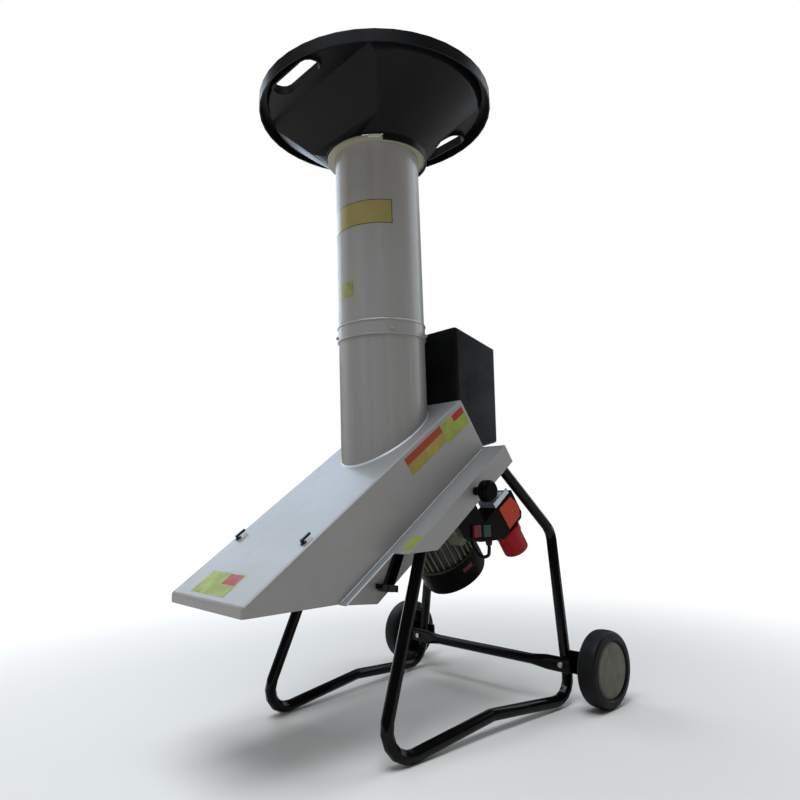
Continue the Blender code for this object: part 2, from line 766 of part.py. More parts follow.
def hood():
    deep = 2 * HOOD_LIP
    inner = HOOD_HALF - SHEET
    shell = prism("hood", hood_outline(0, deep), -HOOD_HALF, HOOD_HALF, "yz", GREY_PAINT, MACHINE)
    soften(shell, HOOD_FOLD)
    room = prism("hood_room", hood_outline(SHEET, 2 * deep), -inner, inner, "yz", parent=MACHINE)
    cut(shell, soften(room, HOOD_FOLD - SHEET))
    cut(shell, prism("hood_trim", below_hood(), -PAN_HALF, PAN_HALF, "yz", parent=MACHINE))
    hole_low = HOOD_TOP_Z - HOOD_DEPTH
    cut(shell, rod("tube_hole", (0, 0, hole_low), SEAM_Z - hole_low, TUBE_R + GAP, parent=MACHINE, sides=48))
    cut(shell, box(
        "feed_window",
        (-WINDOW_HALF, HOOD_REAR_S - 4 * SHEET, WINDOW_LOW_N),
        (WINDOW_HALF, HOOD_REAR_S + SHEET, WINDOW_TOP_N),
        parent=TILTED,
    ))
    for name, side in SIDES:
        x = side * HOOD_SCREW_X
        stem = rod("hood_screw_" + name, (x, HOOD_SCREW_S, GAP), LEVER_HEIGHT, 0.7 * LEVER_THICK, look=STEEL,
                   parent=TILTED, sides=16)
        join(stem, rod("collar", (x, HOOD_SCREW_S, GAP), 0.002, 1.3 * LEVER_THICK, parent=TILTED, sides=16))
        lever = box(
            "lever",
            (x - LEVER_THICK / 2, HOOD_SCREW_S, LEVER_HEIGHT / 2),
            (x + LEVER_THICK / 2, HOOD_SCREW_S + LEVER_REACH, LEVER_HEIGHT), parent=TILTED,
        )
        join(stem, lever)
    inner -= GAP
    front = MOTOR_S - DISC_R - PLATE_AHEAD
    plate = box(
        "throat_plate",
        (-inner, front - SHEET, DISC_TOP_N + KNIFE_PROUD), (inner, front, -SHEET - GAP), GREY_PAINT, TILTED,
    )
    low = SEAM_Z - HOOD_TOP_Z
    cut(plate, rod("tube_room", (0, 0, HOOD_TOP_Z - low), 2 * low, TUBE_R + GAP, parent=MACHINE, sides=48))
    for side in (-1, 1):
        corner = box(
            "plate_corner", (-HOOD_FOLD, -0.05, -HOOD_FOLD), (HOOD_FOLD, 0.05, HOOD_FOLD), parent=TILTED,
        )
        corner.location = (side * inner, front, -SHEET)
        corner.rotation_euler = (0, math.radians(45), 0)
        cut(plate, corner)


def base_pan():
    outer = PAN_HALF
    inner = HOOD_HALF - RIM_OVERLAP
    strip = HOOD_HALF + PAN_STRIP
    front = to_slope(*mouth_corner())[0]
    rear_hole = CHUTE_REAR_S - RIM_OVERLAP
    half = [
        (strip, front), (strip, PAN_FRONT_S), (outer, PAN_FRONT_S), (outer, PAN_REAR_S),
    ]
    mirrored = [(-x, s) for x, s in reversed(half)]
    hole = [(-inner, front), (-inner, rear_hole), (inner, rear_hole), (inner, front)]
    pan = prism("base_pan", half + mirrored + hole, PAN_LOW_N, PAN_TOP_N, "xy", GREY_PAINT, TILTED)
    lip_low = PAN_TOP_N - PAN_LIP
    lip_front = PAN_FRONT_S + PAN_LIP / math.tan(SLOPE)
    outline = [
        (PAN_FRONT_S, PAN_TOP_N), (lip_front, lip_low), (PAN_REAR_S, lip_low), (PAN_REAR_S, PAN_TOP_N),
    ]
    for side in (-1, 1):
        edges = sorted((side * outer, side * (outer - SHEET)))
        join(pan, prism("pan_lip", outline, edges[0], edges[1], "yz", parent=TILTED))
    join(pan, box(
        "rear_lip",
        (-outer, PAN_REAR_S - SHEET, PAN_TOP_N - PAN_REAR_LIP), (outer, PAN_REAR_S, PAN_TOP_N), parent=TILTED,
    ))


def chute_shell():
    front_s = to_slope(*mouth_corner())[0]
    outline = [
        (front_s, CHUTE_TOP_N), (CHUTE_FRONT_S, -CHUTE_DEPTH),
        (CHUTE_REAR_S, -CHUTE_DEPTH), (CHUTE_REAR_S, CHUTE_TOP_N),
    ]
    rear_in = CHUTE_REAR_S - SHEET
    over = CHUTE_TOP_N + HOOD_LIP
    inside = [
        (front_s - CHUTE_DEPTH, over), (CHUTE_FRONT_S - CHUTE_DEPTH, FLOOR_TOP_N),
        (rear_in, FLOOR_TOP_N), (rear_in, over),
    ]
    shell = prism("chute_shell", outline, -HOOD_HALF, HOOD_HALF, "yz", GREY_PAINT, TILTED)
    inner = HOOD_HALF - SHEET
    cut(shell, prism("chute_room", inside, -inner, inner, "yz", parent=TILTED))
    hole_r = SPIGOT_R + GAP
    cut(shell, rod("spigot_hole", (0, MOTOR_S, FLANGE_LOW_N), CHUTE_DEPTH, hole_r, parent=TILTED, sides=48))
    for name, side in SIDES:
        base = side * (HOOD_HALF + GAP)
        thin = base + side * STRAP_THICK
        proud = base + side * STRAP_FOOT
        low_x, high_x = min(base, thin), max(base, thin)
        strap = prism("front_bracket_" + name, STRAP_OUTLINE, low_x, high_x, "yz", BLACK_ENAMEL, TILTED)
        low_x, high_x = min(base, proud), max(base, proud)
        join(strap, prism("foot", STRAP_FOOT_OUTLINE, low_x, high_x, "yz", parent=TILTED))
        s = sum(spot[0] for spot in STRAP_FOOT_OUTLINE) / len(STRAP_FOOT_OUTLINE)
        n = sum(spot[1] for spot in STRAP_FOOT_OUTLINE) / len(STRAP_FOOT_OUTLINE)
        length = STRAP_FOOT - SCREW_HEAD / 2 + SHEET + 2 * GAP + NUT
        spot = (proud - side * SCREW_HEAD / 2, s, n)
        bolt_hole(spot, "x", SCREW_R, length, (shell,), side > 0)
        join(strap, bolt(spot, "x", SCREW_R, length, SCREW_HEAD_R, SCREW_HEAD, TILTED, NUT, side > 0))


def rear_hopper():
    wall = HOPPER_WALL
    face = HOOD_REAR_S + GAP
    foot_n = PAN_TOP_N + GAP
    corner = on_slope(face, 0)
    front_y = corner[0]
    fall = (HOPPER_FRONT_Z - HOPPER_REAR_Z) / (HOPPER_REAR_Y - front_y)
    above = HOOD_LIP
    foot = on_slope(face, foot_n)
    outline = [
        (front_y, HOPPER_FRONT_Z + above), corner, foot,
        (HOPPER_REAR_Y, HOPPER_FLOOR_Z), (HOPPER_REAR_Y + HOPPER_LEAN, HOPPER_REAR_Z + above),
    ]
    upper = on_slope(face + wall, 0)
    lower = on_slope(face + wall, foot_n)
    front_in = front_y + wall
    rear_in = HOPPER_REAR_Y - wall
    floor = ((foot[0], foot[1] + wall), (HOPPER_REAR_Y, HOPPER_FLOOR_Z + wall))
    inside = [
        (front_in, HOPPER_FRONT_Z + 2 * above),
        (front_in, along(upper, lower, front_in, 0)),
        crossing(upper, lower, *floor),
        (rear_in, along(*floor, rear_in, 0)),
        (rear_in + HOPPER_LEAN, HOPPER_REAR_Z + 2 * above),
    ]
    shell = prism("rear_hopper", outline, -HOPPER_HALF, HOPPER_HALF, "yz", BLACK_PLASTIC, MACHINE)
    soften(shell, HOPPER_RADIUS)
    inner = HOPPER_HALF - wall
    room = prism("hopper_room", inside, -inner, inner, "yz", parent=MACHINE)
    cut(shell, soften(room, HOPPER_RADIUS - wall))
    reach = HOPPER_HALF
    over = [
        (front_y - reach, HOPPER_FRONT_Z + reach * fall),
        (HOPPER_REAR_Y + reach, HOPPER_REAR_Z - reach * fall),
        (HOPPER_REAR_Y + reach, HOPPER_FRONT_Z + reach),
        (front_y - reach, HOPPER_FRONT_Z + reach),
    ]
    cut(shell, prism("hopper_trim", over, -reach - wall, reach + wall, "yz", parent=MACHINE))
    cut(shell, box(
        "hopper_window",
        (-WINDOW_HALF, face - wall, WINDOW_LOW_N), (WINDOW_HALF, face + 2 * wall, WINDOW_TOP_N),
        parent=TILTED,
    ))


def bolt_hole(start, axis, radius, length, targets, flip=False, parent=TILTED):
    """Clears a bolt's shank in each piece that it passes through."""
    step = {"x": Vector((1, 0, 0)), "y": Vector((0, 1, 0)), "z": Vector((0, 0, 1))}[axis]
    low = Vector(start) - step * (length if flip else 0)
    for target in targets:
        cut(target, rod(
            "bolt_hole", low - step * GAP, length + 2 * GAP, radius + GAP, axis, parent=parent,
            sides=BOLT_SIDES,
        ))


# Knife disc with its hub, knives and throwing paddles

def knife_disc():
    hub_low = DISC_LOW_N - HUB_LENGTH
    bore = SHAFT_R + GAP
    disc = turned(
        "cutting_disc",
        [
            (DISC_R, DISC_TOP_N), (DISC_R, DISC_LOW_N), (HUB_R, DISC_LOW_N), (HUB_R, hub_low),
            (bore, hub_low), (bore, DISC_TOP_N),
        ],
        STEEL, MOTOR,
    )
    knife_top = DISC_TOP_N + KNIFE_PROUD
    knife_low = knife_top - KNIFE_THICK
    half = KNIFE_WIDTH / 2
    length = KNIFE_PROUD + DISC_THICK + GAP + NUT
    for number, side in ((1, 1), (2, -1)):
        low_x = side * KNIFE_MID_R - KNIFE_LENGTH / 2
        high_x = low_x + KNIFE_LENGTH
        cut(disc, box(
            "knife_seat",
            (low_x - GAP, -half - GAP, knife_low - GAP), (high_x + GAP, half + GAP, DISC_TOP_N + DISC_THICK),
            parent=MOTOR,
        ))
        slot = sorted((-side * (half + CHIP_SLOT), -side * (half - CHIP_SLOT / 4)))
        cut(disc, box(
            "chip_slot",
            (low_x, slot[0], DISC_LOW_N - DISC_THICK),
            (high_x, slot[1], DISC_TOP_N + DISC_THICK), parent=MOTOR,
        ))
        section = [
            (-side * half, knife_low), (side * half, knife_low), (side * half, knife_top),
            (-side * (half - KNIFE_BEVEL), knife_top),
        ]
        knife = prism("knife_" + str(number), section, low_x, high_x, "yz", STEEL, MOTOR)
        for shift in (-KNIFE_BOLT_X, KNIFE_BOLT_X):
            spot = (side * KNIFE_MID_R + shift, side * half / 3, knife_top)
            bolt_hole(spot, "z", BOLT_R, length, (disc,), True, MOTOR)
            join(knife, bolt(
                spot, "z", BOLT_R, length, BOLT_HEAD_R, KNIFE_HEAD, MOTOR, NUT, True,
            ))
    paddles = []
    paddle_top = DISC_LOW_N + DISC_THICK / 4
    for quarter in range(4):
        blade = box(
            "paddle",
            (PADDLE_INNER_R, -PADDLE_THICK / 2, DISC_LOW_N - PADDLE_HEIGHT),
            (DISC_R - PADDLE_THICK / 2, PADDLE_THICK / 2, paddle_top), parent=MOTOR,
        )
        turn_round(blade, 45 + 90 * quarter)
        paddles.append(blade)
    join(disc, fuse_tool("paddles", paddles, MOTOR))
    anvil_low = knife_top + KNIFE_HEAD + KNIFE_GAP
    anvil_rear = HOOD_REAR_S - SHEET - GAP
    anvil_front = anvil_rear - ANVIL_DEPTH
    anvil = box(
        "counter_knife",
        (-WINDOW_HALF, anvil_front, anvil_low), (WINDOW_HALF, anvil_rear, anvil_low + ANVIL_HEIGHT),
        STEEL, TILTED,
    )
    length = ANVIL_DEPTH + SHEET + HOPPER_WALL + 4 * GAP + NUT
    for name, side in SIDES:
        spot = (side * ANVIL_BOLT_X, anvil_front - GAP, anvil_low + ANVIL_HEIGHT / 2)
        through = (anvil, bpy.data.objects["hood"], bpy.data.objects["rear_hopper"])
        bolt_hole(spot, "y", SCREW_R, length, through)
        name_node(bolt(spot, "y", SCREW_R, length, SCREW_HEAD_R, SCREW_HEAD, TILTED, NUT),
                  "counter_knife_bolt_" + name, STEEL)


def turn_round(made, degrees):
    """Turns a piece about its parent's z axis."""
    made.matrix_basis = Matrix.Rotation(math.radians(degrees), 4, "Z") @ made.matrix_basis


# Motor: flange, finned housing, rear bell, fan and cowl, with the rotor on its shaft

def motor():
    bore = BEARING_R + GAP
    clear = SHAFT_R + BEARING_LIP
    seat_top = FLANGE_LOW_N + BEARING_WIDTH
    flange = turned(
        "motor_flange",
        [
            (SPIGOT_R, FLOOR_TOP_N), (SPIGOT_R, FLANGE_TOP_N), (FLANGE_R, FLANGE_TOP_N),
            (FLANGE_R, FLANGE_LOW_N), (bore, FLANGE_LOW_N), (bore, seat_top + GAP),
            (clear, seat_top + GAP), (clear, FLOOR_TOP_N),
        ],
        CAST, MOTOR,
    )
    length = FLOOR_TOP_N + GAP - FLANGE_LOW_N + NUT / 2
    for quarter in range(4):
        angle = math.radians(45 + 90 * quarter)
        spot = (FLANGE_BOLT_R * math.cos(angle), FLANGE_BOLT_R * math.sin(angle), FLOOR_TOP_N + GAP)
        bolt_hole(spot, "z", BOLT_R, length, (bpy.data.objects["chute_shell"],), True, MOTOR)
        join(flange, bolt(spot, "z", BOLT_R, length, BOLT_HEAD_R, BOLT_HEAD, MOTOR, NUT, True))
    shaft_fit = SHAFT_R + GAP
    turned(
        "front_bearing",
        [(BEARING_R, seat_top), (BEARING_R, FLANGE_LOW_N), (shaft_fit, FLANGE_LOW_N), (shaft_fit, seat_top)],
        STEEL, MOTOR, steps=24,
    )

    inner = HOUSING_R - HOUSING_WALL
    housing = turned(
        "motor_housing",
        [
            (HOUSING_R, HOUSING_TOP_N), (HOUSING_R, HOUSING_LOW_N), (inner, HOUSING_LOW_N),
            (inner, HOUSING_TOP_N),
        ],
        CAST, MOTOR,
    )
    fins = []
    for index in range(FIN_COUNT):
        fin = box(
            "fin",
            (HOUSING_R - FIN_HEIGHT / 3, -FIN_THICK / 2, HOUSING_LOW_N + FIN_HEIGHT / 2),
            (FIN_TIP_R, FIN_THICK / 2, HOUSING_TOP_N - FIN_HEIGHT), parent=MOTOR,
        )
        turn_round(fin, 360 * (index + 0.5) / FIN_COUNT)
        fins.append(fin)
    join(housing, fuse_tool("fins", fins, MOTOR))

    middle_n = (HOUSING_TOP_N + HOUSING_LOW_N) / 2
    stator_top = middle_n + STATOR_LENGTH / 2
    stator_low = middle_n - STATOR_LENGTH / 2
    stator_in = CORE_R + AIR_GAP
    turned(
        "stator",
        [
            (inner - GAP, stator_top), (inner - GAP, stator_low), (stator_in, stator_low),
            (stator_in, stator_top),
        ],
        COPPER, MOTOR, steps=24,
    )
    turned(
        "rotor_core",
        [(CORE_R, stator_top), (CORE_R, stator_low), (shaft_fit, stator_low), (shaft_fit, stator_top)],
        STEEL, MOTOR, steps=24,
    )
    inner_cowl = COWL_R - COWL_WALL
    seat_low = BELL_TOP_N - BEARING_WIDTH
    bell_low = seat_low - BEARING_LIP
    turned(
        "rear_bell",
        [
            (inner_cowl - GAP, BELL_TOP_N), (inner_cowl - GAP, bell_low), (clear, bell_low),
            (clear, seat_low - GAP), (bore, seat_low - GAP), (bore, BELL_TOP_N),
        ],
        CAST, MOTOR,
    )
    turned(
        "rear_bearing",
        [(BEARING_R, BELL_TOP_N), (BEARING_R, seat_low), (shaft_fit, seat_low), (shaft_fit, BELL_TOP_N)],
        STEEL, MOTOR, steps=24,
    )
    fan_top = bell_low - FAN_GAP
    fan_low = fan_top - FAN_WIDTH
    shaft_low = fan_low - FAN_GAP
    shaft_top = DISC_TOP_N - KNIFE_PROUD
    shaft = rod("motor_shaft", (0, 0, shaft_low), shaft_top - shaft_low, SHAFT_R, look=STEEL, parent=MOTOR,
                sides=32)
    washer_low = DISC_TOP_N + GAP
    spot = (0, 0, washer_low + DISC_WASHER)
    bolt_hole(spot, "z", BOLT_R, DISC_SCREW, (shaft,), True, MOTOR)
    screw = bolt(spot, "z", BOLT_R, DISC_SCREW, BOLT_HEAD_R, BOLT_HEAD, MOTOR, flip=True)
    join(screw, rod("washer", (0, 0, washer_low), DISC_WASHER + BOLT_HEAD / 4, 0.7 * HUB_R, parent=MOTOR))
    name_node(screw, "disc_bolt", STEEL)

    fan = rod("cooling_fan", (0, 0, fan_low), FAN_WIDTH, FAN_HUB_R, look=BLACK_PLASTIC, parent=MOTOR)
    join(fan, rod("fan_disc", (0, 0, fan_top - FAN_PLATE), FAN_PLATE, FAN_R, parent=MOTOR, sides=32))
    blades = []
    for index in range(FAN_BLADES):
        blade = box(
            "blade",
            (FAN_HUB_R - FAN_PLATE, -FAN_PLATE / 2, fan_low + FAN_PLATE),
            (FAN_R - FAN_PLATE, FAN_PLATE / 2, fan_top - FAN_PLATE / 2), parent=MOTOR,
        )
        turn_round(blade, 360 * index / FAN_BLADES)
        blades.append(blade)
    join(fan, fuse_tool("fan_blades", blades, MOTOR))
    cut(fan, rod("fan_bore", (0, 0, fan_low - FAN_GAP), FAN_WIDTH + 2 * FAN_GAP, shaft_fit, parent=MOTOR,
                 sides=32))

    cowl_low = shaft_low - FAN_GAP - COWL_WALL
    inner_low = cowl_low + COWL_WALL
    cowl = turned(
        "fan_cowl",
        [
            (COWL_R, COWL_TOP_N), (COWL_R, cowl_low + COWL_ROUND),
            (COWL_R - COWL_ROUND / 3, cowl_low + COWL_ROUND / 3),
            (COWL_R - COWL_ROUND, cowl_low), (0, cowl_low), (0, inner_low),
            (inner_cowl - COWL_ROUND, inner_low),
            (inner_cowl - COWL_ROUND / 3, inner_low + COWL_ROUND / 3), (inner_cowl, inner_low + COWL_ROUND),
            (inner_cowl, COWL_TOP_N),
        ],
        BLACK_PLASTIC, MOTOR,
    )
    slots = []
    for row in range(COWL_ROWS):
        radius = (inner_cowl - COWL_ROUND) * (row + 0.8) / COWL_ROWS
        for third in range(3):
            start = math.radians(120 * third + 30 * row)
            sweep = math.radians(96)
            slots.append(arc_slot(radius, start, sweep, cowl_low - COWL_WALL, inner_low + COWL_WALL))
    cut(cowl, fuse_tool("cowl_slots", slots, MOTOR))

    base = FIN_TIP_R + GAP
    lid_x = base + TERMINAL_HEIGHT
    low_n = TERMINAL_TOP_N - TERMINAL_LENGTH
    terminal = box(
        "terminal_box", (base, -TERMINAL_HALF, low_n), (lid_x, TERMINAL_HALF, TERMINAL_TOP_N), CAST, MOTOR,
    )
    wall = TERMINAL_WALL
    cut(terminal, box(
        "terminal_room",
        (base + wall, wall - TERMINAL_HALF, low_n + wall),
        (lid_x + wall, TERMINAL_HALF - wall, TERMINAL_TOP_N - wall), parent=MOTOR,
    ))
    box(
        "terminal_lid",
        (lid_x + GAP, -TERMINAL_HALF, low_n), (lid_x + GAP + LID_THICK, TERMINAL_HALF, TERMINAL_TOP_N),
        CAST, MOTOR,
    )


def arc_slot(radius, start, sweep, low, high, steps=5):
    """A curved slot round the motor axis."""
    outer = radius + SLOT_GAP / 2
    inner = radius - SLOT_GAP / 2
    turns = [start + sweep * step / steps for step in range(steps + 1)]
    outline = [(outer * math.cos(turn), outer * math.sin(turn)) for turn in turns]
    outline += [(inner * math.cos(turn), inner * math.sin(turn)) for turn in reversed(turns)]
    return prism("slot", outline, low, high, "xy", parent=MOTOR)


# Switch unit under the pan: a box with a cover, two buttons, a plate, the inlet and its bracket

def inside_of(outline, depth):
    """The same outline with every edge moved inwards."""
    moved = []
    for first, second in zip(outline, outline[1:] + outline[:1]):
        run, rise = second[0] - first[0], second[1] - first[1]
        share = depth / math.hypot(run, rise)
        across, up = -rise * share, run * share
        moved.append(((first[0] + across, first[1] + up), (second[0] + across, second[1] + up)))
    return [crossing(*before, *after) for before, after in zip(moved[-1:] + moved[:-1], moved)]


def switch_outline():
    """Side view of the switch box: the right part of its long lower edge runs level."""
    top = CHUTE_TOP_N - GAP
    low_s = SWITCH_BEND_S + (SWITCH_BEND_N - SWITCH_LOW_N) / math.tan(SLOPE)
    return [
        (SWITCH_S0, top), (SWITCH_S0, SWITCH_SIDE_N), (SWITCH_BEND_S, SWITCH_BEND_N),
        (low_s, SWITCH_LOW_N), (SWITCH_S1 - SWITCH_CHAMFER, SWITCH_LOW_N),
        (SWITCH_S1, SWITCH_LOW_N + SWITCH_CHAMFER), (SWITCH_S1, SWITCH_TOP_N),
        (SWITCH_STEP_S, SWITCH_TOP_N), (SWITCH_STEP_S, top),
    ]


def cut_corner(shape, depth):
    """Takes the rear lower corner off the switch box, at 45 degrees across the slope."""
    size = SWITCH_X1 - SWITCH_X0
    shift = depth * math.sqrt(2)
    x, s = SWITCH_X0 - size, SWITCH_S0 - size
    corner = [(x, s), (SWITCH_X1 + size + shift, s), (x, SWITCH_S0 + 2 * size + shift)]
    cut(shape, prism("corner", corner, 2 * SWITCH_LOW_N, 0, "xy", parent=TILTED))


def switch_unit():
    wall = SWITCH_WALL
    cover_x = SWITCH_X1 - wall
    outline = switch_outline()
    case = prism("switch_box", outline, SWITCH_X0, cover_x - GAP, "yz", BLACK_PLASTIC, TILTED)
    cut_corner(case, 0)
    room = prism("switch_room", inside_of(outline, wall), SWITCH_X0 + wall, SWITCH_X1, "yz", parent=TILTED)
    cut_corner(room, wall)
    cut(case, room)
    cover = prism("switch_cover", outline, cover_x, SWITCH_X1, "yz", BLACK_PLASTIC, TILTED)
    cut_corner(cover, 0)
    button_back = cover_x - GAP - BUTTON_TRAVEL
    for name, spot, look in (("stop_button", STOP_AT, RED), ("start_button", START_AT, GREEN)):
        y, z = spot
        cut(cover, box(
            "button_hole",
            (cover_x - wall, y - BUTTON_Y - PLAY, z - BUTTON_Z - PLAY),
            (SWITCH_X1 + wall, y + BUTTON_Y + PLAY, z + BUTTON_Z + PLAY), parent=MACHINE,
        ))
        box(
            name, (button_back, y - BUTTON_Y, z - BUTTON_Z),
            (SWITCH_X1 + BUTTON_PROUD, y + BUTTON_Y, z + BUTTON_Z), look, MACHINE,
        )
    plate_x = SWITCH_X1 + GAP
    prism("switch_plate", SWITCH_PLATE, plate_x, plate_x + PLATE_THICK, "yz", ORANGE, TILTED)
    bracket_top = PAN_LOW_N - GAP
    bracket_low = SWITCH_TOP_N + GAP
    s0, s1 = BRACKET_S
    web_x = SWITCH_X0 + 2 * wall
    bracket = box(
        "switch_bracket", (web_x, s0, bracket_low), (SWITCH_X1, s1, bracket_low + wall), ZINC, TILTED,
    )
    join(bracket, box("web", (web_x, s0, bracket_low), (web_x + wall, s1, bracket_top), parent=TILTED))
    join(bracket, box(
        "top_flange", (web_x, s0, bracket_top - wall), (SWITCH_X1 - wall, s1, bracket_top), parent=TILTED,
    ))
    join(bracket, box(
        "front_lip", (SWITCH_X1 - wall, s0, bracket_low), (SWITCH_X1, s1, bracket_low + BRACKET_LIP),
        parent=TILTED,
    ))

    inlet_x = (SWITCH_X0 + SWITCH_X1) / 2
    top = SWITCH_LOW_N - GAP
    low = top - INLET_LENGTH
    inner = INLET_R - INLET_WALL
    floor = top - INLET_FLOOR
    turned(
        "inlet_socket",
        [
            (INLET_R + INLET_WALL, top), (INLET_R + INLET_WALL, floor + INLET_WALL), (INLET_R, floor),
            (INLET_R, low), (inner, low), (inner, floor), (0, floor), (0, top),
        ],
        RED, TILTED, steps=24, origin=(inlet_x, INLET_S, 0),
    )
    carrier_top = floor - GAP
    carrier = rod(
        "inlet_pins", (inlet_x, INLET_S, carrier_top - INLET_WALL), INLET_WALL, inner - GAP,
        look=BLACK_PLASTIC, parent=TILTED,
    )
    spots = [(inlet_x, INLET_S)]
    for quarter in range(4):
        angle = math.radians(45 + 90 * quarter)
        spots.append((inlet_x + PIN_CIRCLE_R * math.cos(angle), INLET_S + PIN_CIRCLE_R * math.sin(angle)))
    length = carrier_top - INLET_WALL / 2 - low - PIN_SHY
    for x, s in spots:
        join(carrier, rod("pin", (x, s, low + PIN_SHY), length, PIN_R, parent=TILTED, sides=12))


# The lead from the switch unit to the terminal box, with a gland at each end

def motor_lead():
    exit_n = SWITCH_BEND_N + (SWITCH_LOW_N - SWITCH_BEND_N) * LEAD_SHARE
    exit_s = SWITCH_BEND_S + (SWITCH_BEND_N - exit_n) / math.tan(SLOPE)
    exit_y, exit_z = on_slope(exit_s, exit_n)
    exit_x = (SWITCH_X0 + SWITCH_X1) / 2
    gland_z = exit_z - GAP - GLAND_LENGTH
    rod("switch_gland", (exit_x, exit_y, gland_z), GLAND_LENGTH, GLAND_TIP_R, look=BLACK_PLASTIC,
        parent=MACHINE, sides=12, top=GLAND_R)
    entry_x = FIN_TIP_R + GAP + TERMINAL_HEIGHT / 2
    entry_n = TERMINAL_TOP_N - TERMINAL_LENGTH - GAP - GLAND_LENGTH
    rod("motor_gland", (entry_x, LEAD_SIDE, entry_n), GLAND_LENGTH, GLAND_TIP_R, look=BLACK_PLASTIC,
        parent=MOTOR, sides=12, top=GLAND_R)
    start = Vector((exit_x, exit_y, gland_z - GAP))
    end_y, end_z = on_slope(MOTOR_S + LEAD_SIDE, entry_n - GAP)
    end = Vector((entry_x, end_y, end_z))
    out = Vector((0, math.sin(SLOPE), -math.cos(SLOPE)))
    down = Vector((0, 0, -1))
    middle = (start + end) / 2
    points = [
        start + down * LEAD_STRAIGHT,
        start * 0.85 + middle * 0.15 + down * 0.7 * LEAD_DROP,
        middle + down * LEAD_DROP + out * LEAD_STRAIGHT / 2,
        end * 0.85 + middle * 0.15 + down * 0.6 * LEAD_DROP + out * LEAD_STRAIGHT / 2,
        end + out * LEAD_STRAIGHT,
    ]
    pipe("motor_lead", [start] + smooth_route(points, 20) + [end], LEAD_R, RUBBER, MACHINE)


# Clamp knob on the lip with its stud, and the nut welded inside the lip

def clamp_knob():
    outer = PAN_HALF + GAP
    stud_in = PAN_HALF - SHEET - KNOB_NUT
    grip = outer + KNOB_STUB
    end = grip + KNOB_LENGTH
    turned(
        "clamp_knob",
        [
            (KNOB_R - KNOB_ROUND, end), (KNOB_R, end - KNOB_ROUND), (KNOB_R, grip + KNOB_ROUND),
            (KNOB_R - KNOB_ROUND, grip), (KNOB_NECK_R, grip), (KNOB_NECK_R, outer),
            (STUD_R, outer), (STUD_R, stud_in), (0, stud_in), (0, end),
        ],
        BLACK_PLASTIC, TILTED, steps=24, axis="x", origin=(0, KNOB_S, KNOB_N),
    )
    pan = bpy.data.objects["base_pan"]
    boss = rod("knob_boss", (stud_in, KNOB_S, KNOB_N), KNOB_NUT + SHEET / 2, 2 * STUD_R, "x", parent=TILTED,
               sides=6)
    join(pan, boss)
    bolt_hole((stud_in, KNOB_S, KNOB_N), "x", STUD_R, outer - stud_in, (pan,))


# Side frames, crossbar and wheels

def frame_point(side, spot):
    y, z = spot
    return Vector((side * (FRAME_X + TOE * y + SPLAY * z), y, z))


def side_frame(name, side):
    corners = [REAR_TOP, REAR_BEND, REAR_FOOT, KNEE, FRONT_FOOT, FRONT_TOP]
    path = rounded([frame_point(side, spot) for spot in corners], BEND_R)
    lift = FRAME_R - min(point.z for point in path)
    path = [point + Vector((0, 0, lift)) for point in path]
    for end, near in ((0, 1), (-1, -2)):
        path[end] += (path[end] - path[near]).normalized() * PAN_HALF
    tube = pipe(name, path, FRAME_R, BLACK_ENAMEL, MACHINE, resolution=3)
    under_pan = PAN_LOW_N - GAP
    reach = 2 * PAN_HALF
    cut(tube, box("above_pan", (-reach, -reach, under_pan), (reach, reach, under_pan + reach), parent=TILTED))
    behind = (side * LEG_X, LEG_Y - 2 * FRAME_R, CROSSBAR_Z)
    bolt_hole(behind, "y", BOLT_R, 4 * FRAME_R, (tube,), parent=MACHINE)
    pan = bpy.data.objects["base_pan"]
    for first, second in ((path[0], path[1]), (path[-1], path[-2])):
        spot = meet_pan(first, second)
        low = (spot.x, spot.y, PAN_TOP_N - FRAME_SCREW)
        cone = (spot.x, spot.y, PAN_LOW_N - GAP)
        depth = SHEET + 2 * GAP
        cut(pan, rod("sink", cone, depth, SCREW_R + GAP, parent=TILTED, sides=12, top=SCREW_HEAD_R + GAP))
        screw = rod("screw", low, FRAME_SCREW - SHEET / 2, SCREW_R, parent=TILTED, sides=12)
        join(screw, rod("head", cone, SHEET + GAP, SCREW_R, parent=TILTED, sides=12, top=SCREW_HEAD_R))
        join(tube, screw)


def meet_pan(first, second):
    """Where a leg's centre line passes the pan's underside, in slope coordinates."""
    ends = [Vector((point.x, *to_slope(point.y, point.z))) for point in (first, second)]
    share = (PAN_LOW_N - ends[0].z) / (ends[1].z - ends[0].z)
    return ends[0].lerp(ends[1], share)


def ring_of(half_y, half_z, x, y, z, sides=16):
    """One section of the crossbar: round in the middle, flat at the ends."""
    turns = [2 * math.pi * i / sides for i in range(sides)]
    return [Vector((x, y + half_y * math.cos(turn), z + half_z * math.sin(turn))) for turn in turns]


def loft(name, rings, look=None, parent=None):
    mesh = bmesh.new()
    loops = [[mesh.verts.new(point) for point in ring] for ring in rings]
    for first, second in zip(loops, loops[1:]):
        for i in range(len(first)):
            j = (i + 1) % len(first)
            mesh.faces.new((first[i], first[j], second[j], second[i]))
    mesh.faces.new(loops[0])
    mesh.faces.new(loops[-1])
    return from_bmesh(name, mesh, look, parent, True)


